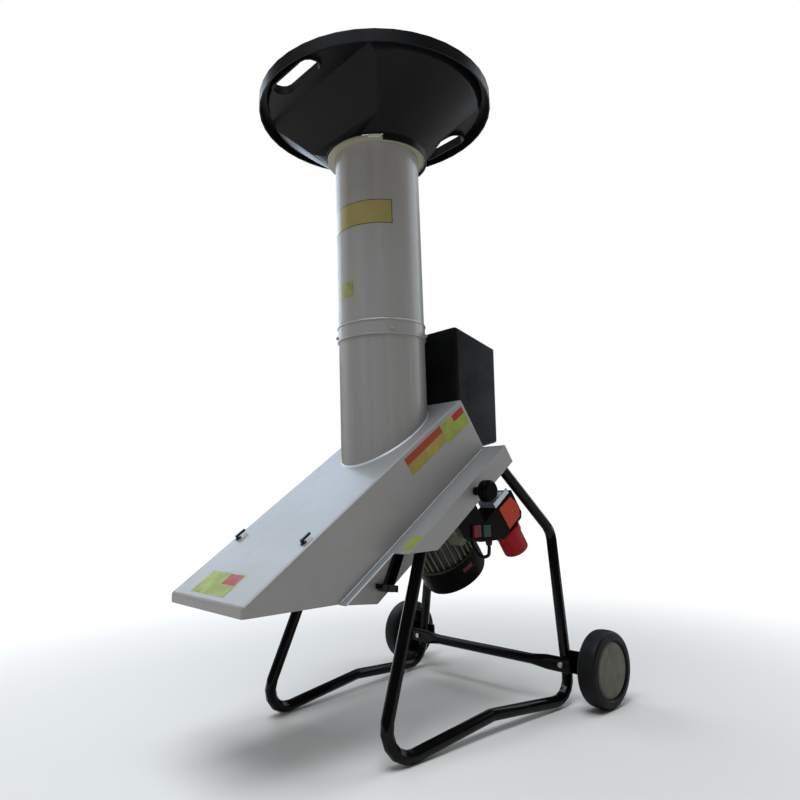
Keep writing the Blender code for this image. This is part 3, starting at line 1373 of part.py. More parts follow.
def crossbar():
    flat = CROSSBAR_FLAT / 2
    y = LEG_Y - FRAME_R - CROSSBAR_FLAT_HALF * LEG_LEAN - 2 * GAP - flat
    reach = LEG_X + CROSSBAR_END
    flat_to = reach - 2 * CROSSBAR_END - CROSSBAR_FLAT_HALF
    round_from = flat_to - CROSSBAR_TAPER
    stations = [(-reach, 1), (-flat_to, 1), (-round_from, 0), (round_from, 0), (flat_to, 1), (reach, 1)]
    sections = []
    for x, share in stations:
        half_y = CROSSBAR_R + (flat - CROSSBAR_R) * share
        half_z = CROSSBAR_R + (CROSSBAR_FLAT_HALF - CROSSBAR_R) * share
        sections.append(ring_of(half_y, half_z, x, y, CROSSBAR_Z))
    bar = loft("crossbar", sections, BLACK_ENAMEL, MACHINE)
    head_y = y - flat - GAP
    length = AXLE_PLATE_Y + AXLE_PLATE + GAP - head_y + NUT
    for name, side in SIDES:
        spot = (side * LEG_X, head_y, CROSSBAR_Z)
        bolt_hole(spot, "y", BOLT_R, length, (bar,), parent=MACHINE)
        name_node(bolt(spot, "y", BOLT_R, length, BOLT_HEAD_R, BOLT_HEAD, MACHINE, NUT),
                  "crossbar_bolt_" + name, STEEL)


def wheels():
    hub_in = WHEEL_X - TYRE_WIDTH / 2 + HUB_INSET
    hub_out = WHEEL_X + TYRE_WIDTH / 2 - HUB_INSET
    plate_out = hub_in - BOSS_PROUD - GAP
    stub_end = hub_out - HUB_FACE - CAP_THICK - 3 * GAP
    for name, side in SIDES:
        inner = LEG_X - AXLE_PLATE_HALF
        plate = box(
            "axle_" + name,
            (min(side * inner, side * plate_out), AXLE_PLATE_Y, CROSSBAR_Z - AXLE_PLATE_HALF),
            (max(side * inner, side * plate_out), AXLE_PLATE_Y + AXLE_PLATE, CROSSBAR_Z + AXLE_PLATE_HALF),
            BLACK_ENAMEL, MACHINE,
        )
        stub_in = LEG_X + 2 * BOLT_HEAD_R
        start = (stub_in if side > 0 else -stub_end, AXLE_Y, TYRE_R)
        join(plate, rod("stub", start, stub_end - stub_in, AXLE_R, "x", parent=MACHINE))
        spot = (side * LEG_X, AXLE_PLATE_Y - GAP, CROSSBAR_Z)
        bolt_hole(spot, "y", BOLT_R, AXLE_PLATE + 2 * GAP, (plate,), parent=MACHINE)
        wheel(name, side, hub_in, hub_out, stub_end)
        cap = side * (stub_end + GAP)
        rod(
            "axle_cap_" + name, (min(cap, cap + side * CAP_THICK), AXLE_Y, TYRE_R), CAP_THICK,
            BOSS_R - HUB_WALL - PLAY, "x", STEEL, MACHINE, sides=16,
        )


def mirrored_profile(profile, side):
    """A turned profile for the left wheel, or its mirror image for the right one."""
    if side > 0:
        return profile
    return [(radius, -x) for radius, x in reversed(profile)]


def wheel(name, side, hub_in, hub_out, stub_end):
    spot = (0, AXLE_Y, TYRE_R)
    bore = AXLE_R + GAP
    half = TYRE_WIDTH / 2
    step = TYRE_ROUND / 3
    seat = HUB_RIM_R + GAP
    turned(
        "tyre_" + name,
        mirrored_profile([
            (seat, WHEEL_X + half - step), (seat + step, WHEEL_X + half),
            (TYRE_R - TYRE_ROUND, WHEEL_X + half), (TYRE_R - step, WHEEL_X + half - step),
            (TYRE_R, WHEEL_X + half - TYRE_ROUND), (TYRE_R, WHEEL_X - half + TYRE_ROUND),
            (TYRE_R - step, WHEEL_X - half + step), (TYRE_R - TYRE_ROUND, WHEEL_X - half),
            (seat + step, WHEEL_X - half), (seat, WHEEL_X - half + step),
        ], side),
        RUBBER, MACHINE, steps=32, axis="x", origin=spot,
    )
    rim = HUB_RIM_R - HUB_WALL
    face = hub_out - HUB_FACE
    turned(
        "hub_" + name,
        mirrored_profile([
            (0, hub_out), (rim - HUB_WALL, hub_out), (rim, hub_out - HUB_WALL / 2),
            (HUB_RIM_R, hub_out - HUB_WALL), (HUB_RIM_R, hub_in), (rim, hub_in), (rim, face),
            (BOSS_R, face), (BOSS_R, hub_in - BOSS_PROUD), (bore, hub_in - BOSS_PROUD), (bore, stub_end),
            (BOSS_R - HUB_WALL, stub_end), (BOSS_R - HUB_WALL, face), (0, face),
        ], side),
        CREAM, MACHINE, steps=24, axis="x", origin=spot,
    )


feed_tube()
funnel()
hood()
base_pan()
chute_shell()
rear_hopper()
knife_disc()
motor()
switch_unit()
motor_lead()
clamp_knob()
side_frame("side_frame_left", 1)
side_frame("side_frame_right", -1)
crossbar()
wheels()
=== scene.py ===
# Looks of the electric wood chipper: paint, plastic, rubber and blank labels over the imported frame.
# Metres, in the frame's own axes: the chute points to -Y, the wheels stand at +Y, the switch side is +X.

import json
import math

import bmesh
import bpy
from mathutils import Matrix, Vector

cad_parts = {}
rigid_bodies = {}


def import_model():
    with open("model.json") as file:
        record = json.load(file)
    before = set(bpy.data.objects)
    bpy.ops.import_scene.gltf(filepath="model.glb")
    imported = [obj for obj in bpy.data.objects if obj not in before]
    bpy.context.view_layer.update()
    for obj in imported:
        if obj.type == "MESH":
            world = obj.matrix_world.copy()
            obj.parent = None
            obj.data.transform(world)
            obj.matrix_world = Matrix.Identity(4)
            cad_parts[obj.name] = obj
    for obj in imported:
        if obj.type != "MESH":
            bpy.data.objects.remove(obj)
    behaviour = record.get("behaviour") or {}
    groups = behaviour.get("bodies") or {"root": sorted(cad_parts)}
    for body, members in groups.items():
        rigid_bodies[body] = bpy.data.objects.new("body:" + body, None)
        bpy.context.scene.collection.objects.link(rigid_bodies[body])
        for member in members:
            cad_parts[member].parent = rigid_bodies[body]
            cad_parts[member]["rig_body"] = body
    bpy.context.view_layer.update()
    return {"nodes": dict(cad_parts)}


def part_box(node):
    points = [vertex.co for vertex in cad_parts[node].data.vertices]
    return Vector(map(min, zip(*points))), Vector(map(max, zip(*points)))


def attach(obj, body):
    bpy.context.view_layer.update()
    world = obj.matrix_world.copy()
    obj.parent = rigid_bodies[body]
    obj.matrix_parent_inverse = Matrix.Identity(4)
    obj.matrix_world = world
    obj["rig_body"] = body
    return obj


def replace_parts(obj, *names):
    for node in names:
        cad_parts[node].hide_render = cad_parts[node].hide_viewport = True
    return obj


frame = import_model()

# Places and sizes of the frame. S runs up the sloping hood, N stands off it.
TUBE_Y = 0.0035153
SLOPE = math.radians(34.43)
HOOD_TOP_Z = 0.6082
HOOD_HALF = 0.137
PAN_TOP_N = -0.131
PAN_STRIP = 0.015
PAN_FRONT_S = -0.236
SHEET = 0.0025
TUBE_R = 0.100
TUBE_WALL = 0.002
TUBE_START_Z = 0.455
TUBE_SINK = 0.0125
TUBE_TOP_Z = 1.2837
SEAM_Z = 0.845
COLLAR_HALF = 0.01775
MOTOR_CENTRE = (0, 0.05758, 0.52402)
FIN_ROOT = 0.0655
FIN_TIP = 0.0735
COWL_R = 0.080
WHEEL_FACE_X = 0.3292

# What the looks add. A bearing is in degrees round the feed tube, from +X towards +Y.
ROUND = 112
TOUCH = 0.00001
FLAT_DEGREES = 0.6
FILM = 0.0003
FILM_THICK = 0.0002
FILM_EDGE = 0.00005
LIP = 0.0004
WELD_BEARING = 100
WELD_R = 0.0016
WELD_SINK = 0.0012
WELD_LOW_Z = 0.614
WELD_TOP_Z = TUBE_TOP_Z - 0.001
WELD_STOP = 0.0185
RIVET_BEARINGS = (-128, -28, 45, 152)
RIVET_DROP = 0.0044
RIVET_SEAT = 0.0004
PAINT = (0.270, 0.262, 0.250)
ENAMEL_BLACK = (0.0022, 0.0022, 0.0025)
RUBBER_BLACK = (0.004, 0.004, 0.0045)

# The photograph's camera
LENS = 28.728
EYE = (1.0967, -0.9677, 0.4922)
HEADING = 46.99
PITCH = 7.79
ROLL = -1.88

# Soft lights: name, place, aim, width, height, watts and colour
LIGHTS = (
    ("overhead", (0.3, -0.9, 4.2), (0, 0, 0.6), 2.6, 2.6, 176, (0.82, 0.91, 1.0)),
    ("window", (-2.9, 0.5, 2.5), (0, 0, 0.7), 2.4, 2.0, 42, (0.68, 0.82, 1.0)),
    ("front", (-3.6, -1.3, 2.0), (0, 0, 0.8), 3.0, 3.0, 20, (1.0, 0.95, 0.88)),
    ("right", (0.9, 2.9, 1.9), (0, 0, 0.9), 2.0, 2.6, 33, (0.85, 0.93, 1.0)),
    ("back", (-1.1, 3.0, 3.4), (0, 0, 1.3), 2.6, 1.5, 9, (0.80, 0.90, 1.0)),
)

ON_SLOPE = Matrix.Translation((0, TUBE_Y, HOOD_TOP_Z)) @ Matrix.Rotation(SLOPE, 4, "X")
UP_SLOPE = Vector((0, math.cos(SLOPE), math.sin(SLOPE)))
OFF_SLOPE = Vector((0, -math.sin(SLOPE), math.cos(SLOPE)))
SLOPE_ORIGIN = Vector((0, TUBE_Y, HOOD_TOP_Z))
SIDEWAYS = Vector((1, 0, 0))
UP = Vector((0, 0, 1))


# Camera, floor and light

def turn_about(degrees, axis):
    return Matrix.Rotation(math.radians(degrees), 4, axis)


def set_camera():
    """The camera that took the photograph, as fitted to the machine's edges."""
    data = bpy.data.cameras.new("camera")
    data.sensor_width = 36
    data.lens = LENS
    camera = bpy.data.objects.new("camera", data)
    bpy.context.scene.collection.objects.link(camera)
    turn = turn_about(HEADING, "Z") @ turn_about(90 + PITCH, "X") @ turn_about(ROLL, "Z")
    camera.matrix_world = Matrix.Translation(EYE) @ turn
    bpy.context.scene.camera = camera


def soft_light(name, spot, aim, wide, tall, watts, colour):
    data = bpy.data.lights.new(name, "AREA")
    data.shape = "RECTANGLE"
    data.size = wide
    data.size_y = tall
    data.energy = watts
    data.color = colour
    lamp = bpy.data.objects.new(name, data)
    bpy.context.scene.collection.objects.link(lamp)
    lamp.location = spot
    lamp.rotation_euler = (Vector(aim) - Vector(spot)).to_track_quat("-Z", "Y").to_euler()


def set_studio():
    """A dim warm room that the camera sees as white, with the soft lights in it."""
    world = bpy.data.worlds.new("studio")
    bpy.context.scene.world = world
    world.use_nodes = True
    tree = world.node_tree
    room = tree.nodes["Background"]
    room.inputs["Color"].default_value = (1.0, 0.97, 0.93, 1.0)
    room.inputs["Strength"].default_value = 0.10
    wall = tree.nodes.new("ShaderNodeBackground")
    wall.inputs["Color"].default_value = (1.0, 1.0, 1.0, 1.0)
    wall.inputs["Strength"].default_value = 1.0
    path = tree.nodes.new("ShaderNodeLightPath")
    share = tree.nodes.new("ShaderNodeMixShader")
    tree.links.new(path.outputs["Is Camera Ray"], share.inputs[0])
    tree.links.new(room.outputs[0], share.inputs[1])
    tree.links.new(wall.outputs[0], share.inputs[2])
    tree.links.new(share.outputs[0], tree.nodes["World Output"].inputs["Surface"])
    for light in LIGHTS:
        soft_light(*light)
    bpy.context.scene.view_settings.view_transform = "Standard"
    bpy.context.scene.view_settings.look = "None"


def lay_floor():
    """A pale floor that glows into the white room away from the machine."""
    shape = bmesh.new()
    bmesh.ops.create_circle(shape, cap_ends=True, radius=14, segments=96)
    data = bpy.data.meshes.new("floor")
    shape.to_mesh(data)
    shape.free()
    floor = bpy.data.objects.new("floor", data)
    bpy.context.scene.collection.objects.link(floor)
    pale = Finish("pale_floor", (0.60, 0.58, 0.56), 0.8, Specular_IOR_Level=0.1)
    away = pale.node("ShaderNodeVectorMath", "Value", {"operation": "LENGTH"}, {0: pale.spot})
    far = pale.spread(away, 0.75, 2.1)
    pale.colour(pale.blend(far, (0.76, 0.72, 0.67), (0.10, 0.10, 0.10)))
    pale.feed("Emission Color", pale.blend(far, (0.0, 0.0, 0.0), (1.0, 1.0, 1.0)))
    pale.feed("Emission Strength", 1.0)
    pale.roughness(0.75 + 0.1 * pale.noise(3, 2))
    data.materials.append(pale.material)


# Finishes

class Value:
    """A number that changes over a surface, so that maths on it reads as plain Python."""

    def __init__(self, finish, socket):
        self.finish = finish
        self.socket = socket

    def maths(self, operation, first, second=0.0):
        settings = {"operation": operation}
        return self.finish.node("ShaderNodeMath", settings=settings, inputs={0: first, 1: second})

    def __add__(self, other):
        return self.maths("ADD", self, other)

    def __radd__(self, other):
        return self.maths("ADD", other, self)

    def __mul__(self, other):
        return self.maths("MULTIPLY", self, other)

    def __rmul__(self, other):
        return self.maths("MULTIPLY", other, self)

    def __gt__(self, other):
        return self.maths("GREATER_THAN", self, other)

    def __lt__(self, other):
        return self.maths("LESS_THAN", self, other)

    def __abs__(self):
        return self.maths("ABSOLUTE", self)

    def root(self):
        return self.maths("SQRT", self)

    def within(self, low, high):
        """1 between two limits and 0 outside them."""
        return (self > low) * (self < high)


class Finish:
    """One material, with its pattern on Object coordinates."""

    def __init__(self, name, colour, roughness, metallic=0.0, **constants):
        self.material = bpy.data.materials.new(name)
        self.material.use_nodes = True
        self.tree = self.material.node_tree
        self.shader = self.tree.nodes["Principled BSDF"]
        self.shader.inputs["Base Color"].default_value = (*colour, 1.0)
        self.shader.inputs["Roughness"].default_value = roughness
        self.shader.inputs["Metallic"].default_value = metallic
        for key, value in constants.items():
            self.shader.inputs[key.replace("_", " ")].default_value = value
        self.spot = self.node("ShaderNodeTexCoord", "Object")

    def node(self, kind, out=0, settings=None, inputs=None):
        made = self.tree.nodes.new(kind)
        for key, value in (settings or {}).items():
            setattr(made, key, value)
        for key, value in (inputs or {}).items():
            if isinstance(value, Value):
                self.tree.links.new(value.socket, made.inputs[key])
            else:
                made.inputs[key].default_value = value
        return Value(self, made.outputs[out])

    def feed(self, name, value):
        if isinstance(value, Value):
            self.tree.links.new(value.socket, self.shader.inputs[name])
        else:
            self.shader.inputs[name].default_value = value
        return self

    def colour(self, value):
        return self.feed("Base Color", value)

    def roughness(self, value):
        return self.feed("Roughness", value)

    def noise(self, scale, detail=2.0, stretch=None):
        spot = self.spot
        if stretch:
            spot = self.node("ShaderNodeMapping", inputs={"Vector": spot, "Scale": stretch})
        inputs = {"Vector": spot, "Scale": scale, "Detail": detail}
        return self.node("ShaderNodeTexNoise", "Fac", inputs=inputs)

    def spread(self, value, low, high):
        """Stretches a value's middle part over 0 to 1, with soft ends."""
        settings = {"interpolation_type": "SMOOTHSTEP"}
        return self.node("ShaderNodeMapRange", settings=settings,
                         inputs={"Value": value, "From Min": low, "From Max": high})

    def blend(self, share, first, second):
        """A colour between two colours."""
        first = first if isinstance(first, Value) else (*first, 1.0)
        second = second if isinstance(second, Value) else (*second, 1.0)
        return self.node("ShaderNodeMix", 2, {"data_type": "RGBA"}, {0: share, 6: first, 7: second})

    def along(self, direction, origin=(0, 0, 0)):
        """How far a point lies from the origin along a direction."""
        shifted = self.node("ShaderNodeVectorMath", settings={"operation": "SUBTRACT"},
                            inputs={0: self.spot, 1: tuple(origin)})
        return self.node("ShaderNodeVectorMath", "Value", {"operation": "DOT_PRODUCT"},
                         {0: shifted, 1: tuple(direction)})

    def bump(self, height, strength, distance=0.001):
        inputs = {"Strength": strength, "Distance": distance, "Height": height}
        return self.feed("Normal", self.node("ShaderNodeBump", inputs=inputs))

    def bearing(self):
        """The bearing of a point round the feed tube, in degrees."""
        x = self.along(SIDEWAYS, (0, TUBE_Y, 0))
        y = self.along((0, 1, 0), (0, TUBE_Y, 0))
        return x.maths("ARCTAN2", y, x) * (180 / math.pi)


def painted_steel(name, colour, dust, stretch=None):
    """Satin paint on sheet steel: a fine orange peel, slow clouding or streaks, and specks of dust."""
    paint = Finish(name, colour, 0.42, 0.05, Coat_Weight=0.22, Coat_Roughness=0.10)
    cloud = paint.spread(paint.noise(5, 3, stretch), 0.35, 0.65)
    grime = paint.spread(paint.noise(38, 5), 0.5, 0.75)
    shaded = tuple(0.93 * part for part in colour)
    paint.colour(paint.blend(grime * 0.15, paint.blend(cloud, shaded, colour), dust))
    paint.roughness(0.40 + 0.07 * cloud + 0.05 * grime)
    peel = paint.noise(420, 2)
    return paint.bump(peel, 0.06, 0.0006).material


def collar_paint():
    """Paint with a painted highlight, in patches, along the collar's upper bead."""
    paint = Finish("collar_paint", PAINT, 0.36, 0.05, Coat_Weight=0.3, Coat_Roughness=0.08)
    patchy = paint.spread(paint.noise(14, 3), 0.38, 0.55)
    top = SEAM_Z + COLLAR_HALF
    fade_start, fade_end = top - 0.0022, top - 0.0008
    # Painted highlight: the paint turns near white towards the top of the upper bead.
    wear_and_painted_highlight = paint.spread(paint.along(UP), fade_start, fade_end) * (0.25 + 0.75 * patchy)
    paint.colour(paint.blend(wear_and_painted_highlight, (0.262, 0.255, 0.242), (0.80, 0.80, 0.78)))
    paint.roughness(0.36 + 0.1 * patchy)
    return paint.bump(paint.noise(420, 2), 0.06, 0.0006).material


def moulded_plastic(name, colour, sheen, grain=900, depth=0.12, gloss=0.4):
    """Moulded plastic with a fine spark-eroded grain and a little handling polish."""
    plastic = Finish(name, colour, sheen, Specular_IOR_Level=gloss)
    wear_and_painted_highlight = plastic.spread(plastic.noise(7, 4), 0.4, 0.7)
    dust = tuple(1.12 * part + 0.002 for part in colour)
    plastic.colour(plastic.blend(wear_and_painted_highlight, colour, dust))
    plastic.roughness(sheen - 0.05 + 0.12 * wear_and_painted_highlight)
    return plastic.bump(plastic.noise(grain, 2), depth, 0.0005).material


def tube_enamel():
    """Black enamel on the frame tubes. Their screw heads, above the pan's sheet, are painted like the pan."""
    enamel = Finish("black_enamel", ENAMEL_BLACK, 0.12, Specular_IOR_Level=0.14)
    scuff = enamel.spread(enamel.noise(26, 5), 0.6, 0.8)
    black = enamel.blend(scuff, ENAMEL_BLACK, (0.007, 0.007, 0.007))
    heads = enamel.along(OFF_SLOPE, SLOPE_ORIGIN) > PAN_TOP_N - SHEET
    enamel.colour(enamel.blend(heads, black, PAINT))
    enamel.roughness(0.12 + 0.2 * scuff + 0.25 * heads)
    return enamel.bump(enamel.noise(260, 2), 0.08, 0.0006).material


def tyre_rubber():
    """Dull black rubber with dust in patches."""
    rubber = Finish("tyre_rubber", RUBBER_BLACK, 0.6, Specular_IOR_Level=0.18)
    dust = rubber.spread(rubber.noise(22, 5), 0.45, 0.75)
    rubber.colour(rubber.blend(dust, RUBBER_BLACK, (0.0085, 0.0085, 0.009)))
    rubber.roughness(0.5 + 0.22 * dust)
    return rubber.bump(rubber.noise(650, 3), 0.2, 0.0006).material


def wheel_disc():
    """The hub: a cream-grey disc outside, black plastic inside."""
    disc = Finish("wheel_disc", (0.20, 0.19, 0.15), 0.5)
    outside = abs(disc.along(SIDEWAYS)) > WHEEL_FACE_X
    mottle = disc.spread(disc.noise(30, 4), 0.35, 0.7)
    cream = disc.blend(mottle, (0.078, 0.071, 0.044), (0.062, 0.057, 0.037))
    disc.colour(disc.blend(outside, (0.006, 0.006, 0.0065), cream))
    disc.roughness(0.42 + 0.14 * mottle)
    return disc.bump(disc.noise(700, 2), 0.1, 0.0005).material


def bare_steel(name, colour, roughness):
    """Bare steel with fine streaks across the machine."""
    steel = Finish(name, colour, roughness, 1.0)
    streak = steel.noise(60, 4, (1, 8, 8))
    steel.roughness(roughness - 0.08 + 0.2 * streak)
    steel.colour(steel.blend(streak, tuple(0.8 * part for part in colour), colour))
    return steel.bump(steel.noise(500, 2), 0.08, 0.0004).material


def cast_paint():
    """Olive-grey paint over a rough casting, with soot in patches and painted shade in the depths between the
    fins.
    """
    cast = Finish("motor_paint", (0.10, 0.095, 0.06), 0.42, 0.1)
    soot = cast.spread(cast.noise(18, 5), 0.4, 0.7)
    across = cast.along(SIDEWAYS)
    along = cast.along(UP_SLOPE, MOTOR_CENTRE)
    reach = (across * across + along * along).root()
    # Painted shade: near black towards the fin roots, olive towards the fin tips as if lit there.
    painted_fin_shade = cast.spread(reach, FIN_ROOT, FIN_TIP)
    olive = cast.blend(soot, (0.150, 0.140, 0.088), (0.085, 0.080, 0.055))
    cast.colour(cast.blend(painted_fin_shade, (0.012, 0.012, 0.010), olive))
    cast.roughness(0.38 + 0.2 * soot)
    return cast.bump(cast.noise(240, 4), 0.25, 0.0008).material


def zinc_plate():
    """Zinc plating with faint spangles."""
    zinc = Finish("zinc_plate", (0.56, 0.60, 0.67), 0.3, 0.9)
    inputs = {"Vector": zinc.spot, "Scale": 160.0}
    spangle = zinc.node("ShaderNodeTexVoronoi", "Distance", inputs=inputs)
    zinc.roughness(0.24 + 0.18 * spangle)
    zinc.colour(zinc.blend(spangle, (0.62, 0.66, 0.72), (0.42, 0.46, 0.54)))
    return zinc.bump(zinc.noise(300, 2), 0.06, 0.0004).material


def winding():
    """Copper strands of the motor's winding."""
    copper = Finish("winding", (0.52, 0.22, 0.10), 0.35, 0.9)
    strand = copper.node("ShaderNodeTexWave", "Fac", inputs={"Vector": copper.spot, "Scale": 180.0})
    copper.roughness(0.25 + 0.2 * strand)
    return copper.bump(strand, 0.3, 0.0005).material


# Shapes

def show(shape, name, look, body, smooth=35):
    """Turns a finished shape into a piece that rides on a body."""
    bmesh.ops.remove_doubles(shape, verts=shape.verts, dist=2 * TOUCH)
    data = bpy.data.meshes.new(name)
    shape.to_mesh(data)
    shape.free()
    data.materials.append(look)
    piece = bpy.data.objects.new(name, data)
    bpy.context.scene.collection.objects.link(piece)
    data.shade_smooth()
    data.set_sharp_from_angle(angle=math.radians(smooth))
    weight = piece.modifiers.new("even_shading", "WEIGHTED_NORMAL")
    weight.keep_sharp = True
    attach(piece, body)
    return piece


def round_edges(shape, width, over=30, segments=2):
    """Breaks every edge that turns by more than an angle."""
    limit = math.radians(over)
    edges = [edge for edge in shape.edges if len(edge.link_faces) == 2 and edge.calc_face_angle(0) > limit]
    bmesh.ops.bevel(shape, geom=edges, offset=width, offset_type="OFFSET", affect="EDGES", segments=segments,
                    profile=0.5, clamp_overlap=True, material=-1)


def copy_of(node):
    """A merged copy of a part of the frame, with its flat faces whole again."""
    shape = bmesh.new()
    shape.from_mesh(frame["nodes"][node].data)
    bmesh.ops.remove_doubles(shape, verts=shape.verts, dist=TOUCH)
    limit = math.radians(FLAT_DEGREES)
    bmesh.ops.dissolve_limit(shape, angle_limit=limit, verts=shape.verts, edges=shape.edges)
    for face in shape.faces:
        face.material_index = 0
    return shape


def dress(node, look, width, over=30, smooth=35):
    """The same part with broken edges and its own finish."""
    shape = copy_of(node)
    if width:
        round_edges(shape, width, over)
    piece = show(shape, "look_" + node, look, frame["nodes"][node]["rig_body"], smooth=smooth)
    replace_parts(piece, node)


def arc(centre, radius, start, end, steps):
    """Points on an arc, for a profile of radius and height."""
    points = []
    for step in range(steps + 1):
        turn = math.radians(start + (end - start) * step / steps)
        points.append((centre[0] + radius * math.cos(turn), centre[1] + radius * math.sin(turn)))
    return points


def spun(profile, steps, centre=(0, 0, 0), axis=UP, angle=2 * math.pi, across=SIDEWAYS):
    """A profile of radius and height turned about an axis through a centre."""
    shape = bmesh.new()
    centre, axis, across = Vector(centre), Vector(axis), Vector(across)
    points = [shape.verts.new(centre + across * radius + axis * height) for radius, height in profile]
    lines = [shape.edges.new(pair) for pair in zip(points, points[1:] + points[:1])]
    full = abs(angle - 2 * math.pi) < 1e-6
    bmesh.ops.spin(shape, geom=points + lines, cent=centre, axis=axis, angle=angle, steps=steps,
                   use_merge=full, use_duplicate=False)
    bmesh.ops.remove_doubles(shape, verts=shape.verts, dist=TOUCH)
    bmesh.ops.recalc_face_normals(shape, faces=shape.faces)
    return shape


def add_to(shape, extra):
    """Adds one shape's faces to another's."""
    data = bpy.data.meshes.new("passing")
    extra.to_mesh(data)
    extra.free()
    shape.from_mesh(data)
    bpy.data.meshes.remove(data)


def drawn_out(shape, travel):
    """Draws a shape's flat faces out into a solid."""
    drawn = bmesh.ops.extrude_face_region(shape, geom=shape.faces[:], use_keep_orig=True)
    corners = [item for item in drawn["geom"] if isinstance(item, bmesh.types.BMVert)]
    bmesh.ops.translate(shape, vec=travel, verts=corners)
    bmesh.ops.recalc_face_normals(shape, faces=shape.faces)


# Feed tube

def lower_section(paint):
    """The lower tube with a rolled upper end, cut off where it passes into the sloping hood."""
    inner = TUBE_R - TUBE_WALL
    tube = spun([(TUBE_R, SEAM_Z - LIP), (TUBE_R, TUBE_START_Z), (inner, TUBE_START_Z),
                 (inner, SEAM_Z - LIP), (inner + LIP, SEAM_Z), (TUBE_R - LIP, SEAM_Z)], ROUND, (0, TUBE_Y, 0))
    cut = SLOPE_ORIGIN - OFF_SLOPE * TUBE_SINK
    found = bmesh.ops.bisect_plane(tube, geom=tube.verts[:] + tube.edges[:] + tube.faces[:], dist=TOUCH,
                                   plane_co=cut, plane_no=-OFF_SLOPE, clear_outer=True)
    rims = [item for item in found["geom_cut"] if isinstance(item, bmesh.types.BMEdge)]
    bmesh.ops.bridge_loops(tube, edges=rims)
    bmesh.ops.recalc_face_normals(tube, faces=tube.faces)
    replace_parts(show(tube, "tube_foot_section", paint, "machine"), "lower_tube")


def upper_section(paint):
    """The upper tube with both ends rolled, standing a hair above the lower one."""
    inner = TUBE_R - TUBE_WALL
    foot, top = SEAM_Z + LIP, TUBE_TOP_Z
    tube = spun([(TUBE_R - LIP, top), (TUBE_R, top - LIP), (TUBE_R, foot + LIP), (TUBE_R - LIP, foot),
                 (inner + LIP, foot), (inner, foot + LIP), (inner, top - LIP), (inner + LIP, top)],
                ROUND, (0, TUBE_Y, 0))
    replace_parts(show(tube, "tube_top_section", paint, "machine"), "upper_tube")


def tube_weld(name, low, high, paint):
    """The thin weld along one section of the tube."""
    seam = bmesh.new()
    bmesh.ops.create_cone(seam, cap_ends=True, segments=10, radius1=WELD_R, radius2=WELD_R, depth=high - low)
    bmesh.ops.translate(seam, vec=(0, TUBE_R - WELD_SINK, 0), verts=seam.verts)
    place = Matrix.Translation((0, TUBE_Y, (low + high) / 2)) @ turn_about(WELD_BEARING - 90, "Z")
    bmesh.ops.transform(seam, matrix=place, verts=seam.verts)
    bmesh.ops.recalc_face_normals(seam, faces=seam.faces)
    show(seam, "tube_weld_" + name, paint, "machine", smooth=60)


def collar(paint):
    """The joining collar: a rolled band with a bead at each edge, and domed rivets."""
    low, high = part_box("tube_collar")
    middle = (low.z + high.z) / 2
    play, sheet, bead = 0.0003, 0.002, 0.0019
    inner = TUBE_R + play
    outer = inner + sheet
    half = [(inner, COLLAR_HALF)] + arc((outer - bead / 3, COLLAR_HALF - bead), bead, 90, -90, 8)
    profile = half + [(radius, -height) for radius, height in reversed(half)]
    band = spun([(radius, middle + height) for radius, height in profile], ROUND, (0, TUBE_Y, 0))
    for bearing in RIVET_BEARINGS:
        add_to(band, rivet(bearing))
    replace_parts(show(band, "tube_band", paint, "machine", smooth=50), "tube_collar")


def rivet(bearing):
    """A domed rivet in the collar, below its middle."""
    outline = [(0.0, 0.0064), (0.0022, 0.0060), (0.0038, 0.0046), (0.0044, 0.0028), (0.0044, 0.0), (0.0, 0.0)]
    head = spun(outline, 16)
    lying = Matrix.Translation((TUBE_R + RIVET_SEAT, 0, 0)) @ turn_about(90, "Y")
    place = Matrix.Translation((0, TUBE_Y, SEAM_Z - RIVET_DROP)) @ turn_about(bearing, "Z")
    bmesh.ops.transform(head, matrix=place @ lying, verts=head.verts)
    return head


def foot_weld(paint):
    """The weld round the tube where it passes into the sloping hood, in pale paint that is a painted
    highlight along it.
    """
    bead = spun([(TUBE_R - 0.001, -0.0006), (TUBE_R + 0.0034, -0.0006), (TUBE_R + 0.0024, 0.0010),
                 (TUBE_R + 0.0008, 0.0028), (TUBE_R - 0.001, 0.0034)], ROUND)
    lean = Matrix(((1, 0, 0, 0), (0, 1, 0, 0), (0, math.tan(SLOPE), 1, 0), (0, 0, 0, 1)))
    bmesh.ops.transform(bead, matrix=Matrix.Translation(SLOPE_ORIGIN) @ lean, verts=bead.verts)
    show(bead, "tube_foot_weld", paint, "machine", smooth=60)


def sheet_edges(paint):
    """The rolled edges at the hood's foot and along the pan's narrow front strip, in pale paint that is a
    painted highlight along them.
    """
    spots = [UP_SLOPE.dot(point.co - SLOPE_ORIGIN) for point in frame["nodes"]["base_pan"].data.vertices]
    front, rear = min(spots) + 0.001, max(spots) - 0.01
    hood_bead, strip_bead = 0.0013, 0.0014
    hood_foot = (HOOD_HALF, PAN_TOP_N + hood_bead)
    strip_edge = (HOOD_HALF + PAN_STRIP, PAN_TOP_N - hood_bead)
    for word, side in (("left", 1), ("right", -1)):
        edge_bead("hood_foot_edge_" + word, side, hood_foot, hood_bead, front, rear, paint)
        edge_bead("pan_strip_edge_" + word, side, strip_edge, strip_bead, front, PAN_FRONT_S, paint)


def edge_bead(name, side, centre, radius, start, end, look):
    """A half-round bead that runs up the slope beside an upright face."""
    shape = bmesh.new()
    shape.faces.new([shape.verts.new((side * x, start, n)) for x, n in arc(centre, radius, 90, -90, 6)])
    drawn_out(shape, (0, end - start, 0))
    bmesh.ops.transform(shape, matrix=ON_SLOPE, verts=shape.verts)
    show(shape, name, look, "machine", smooth=60)


# Labels, all blank

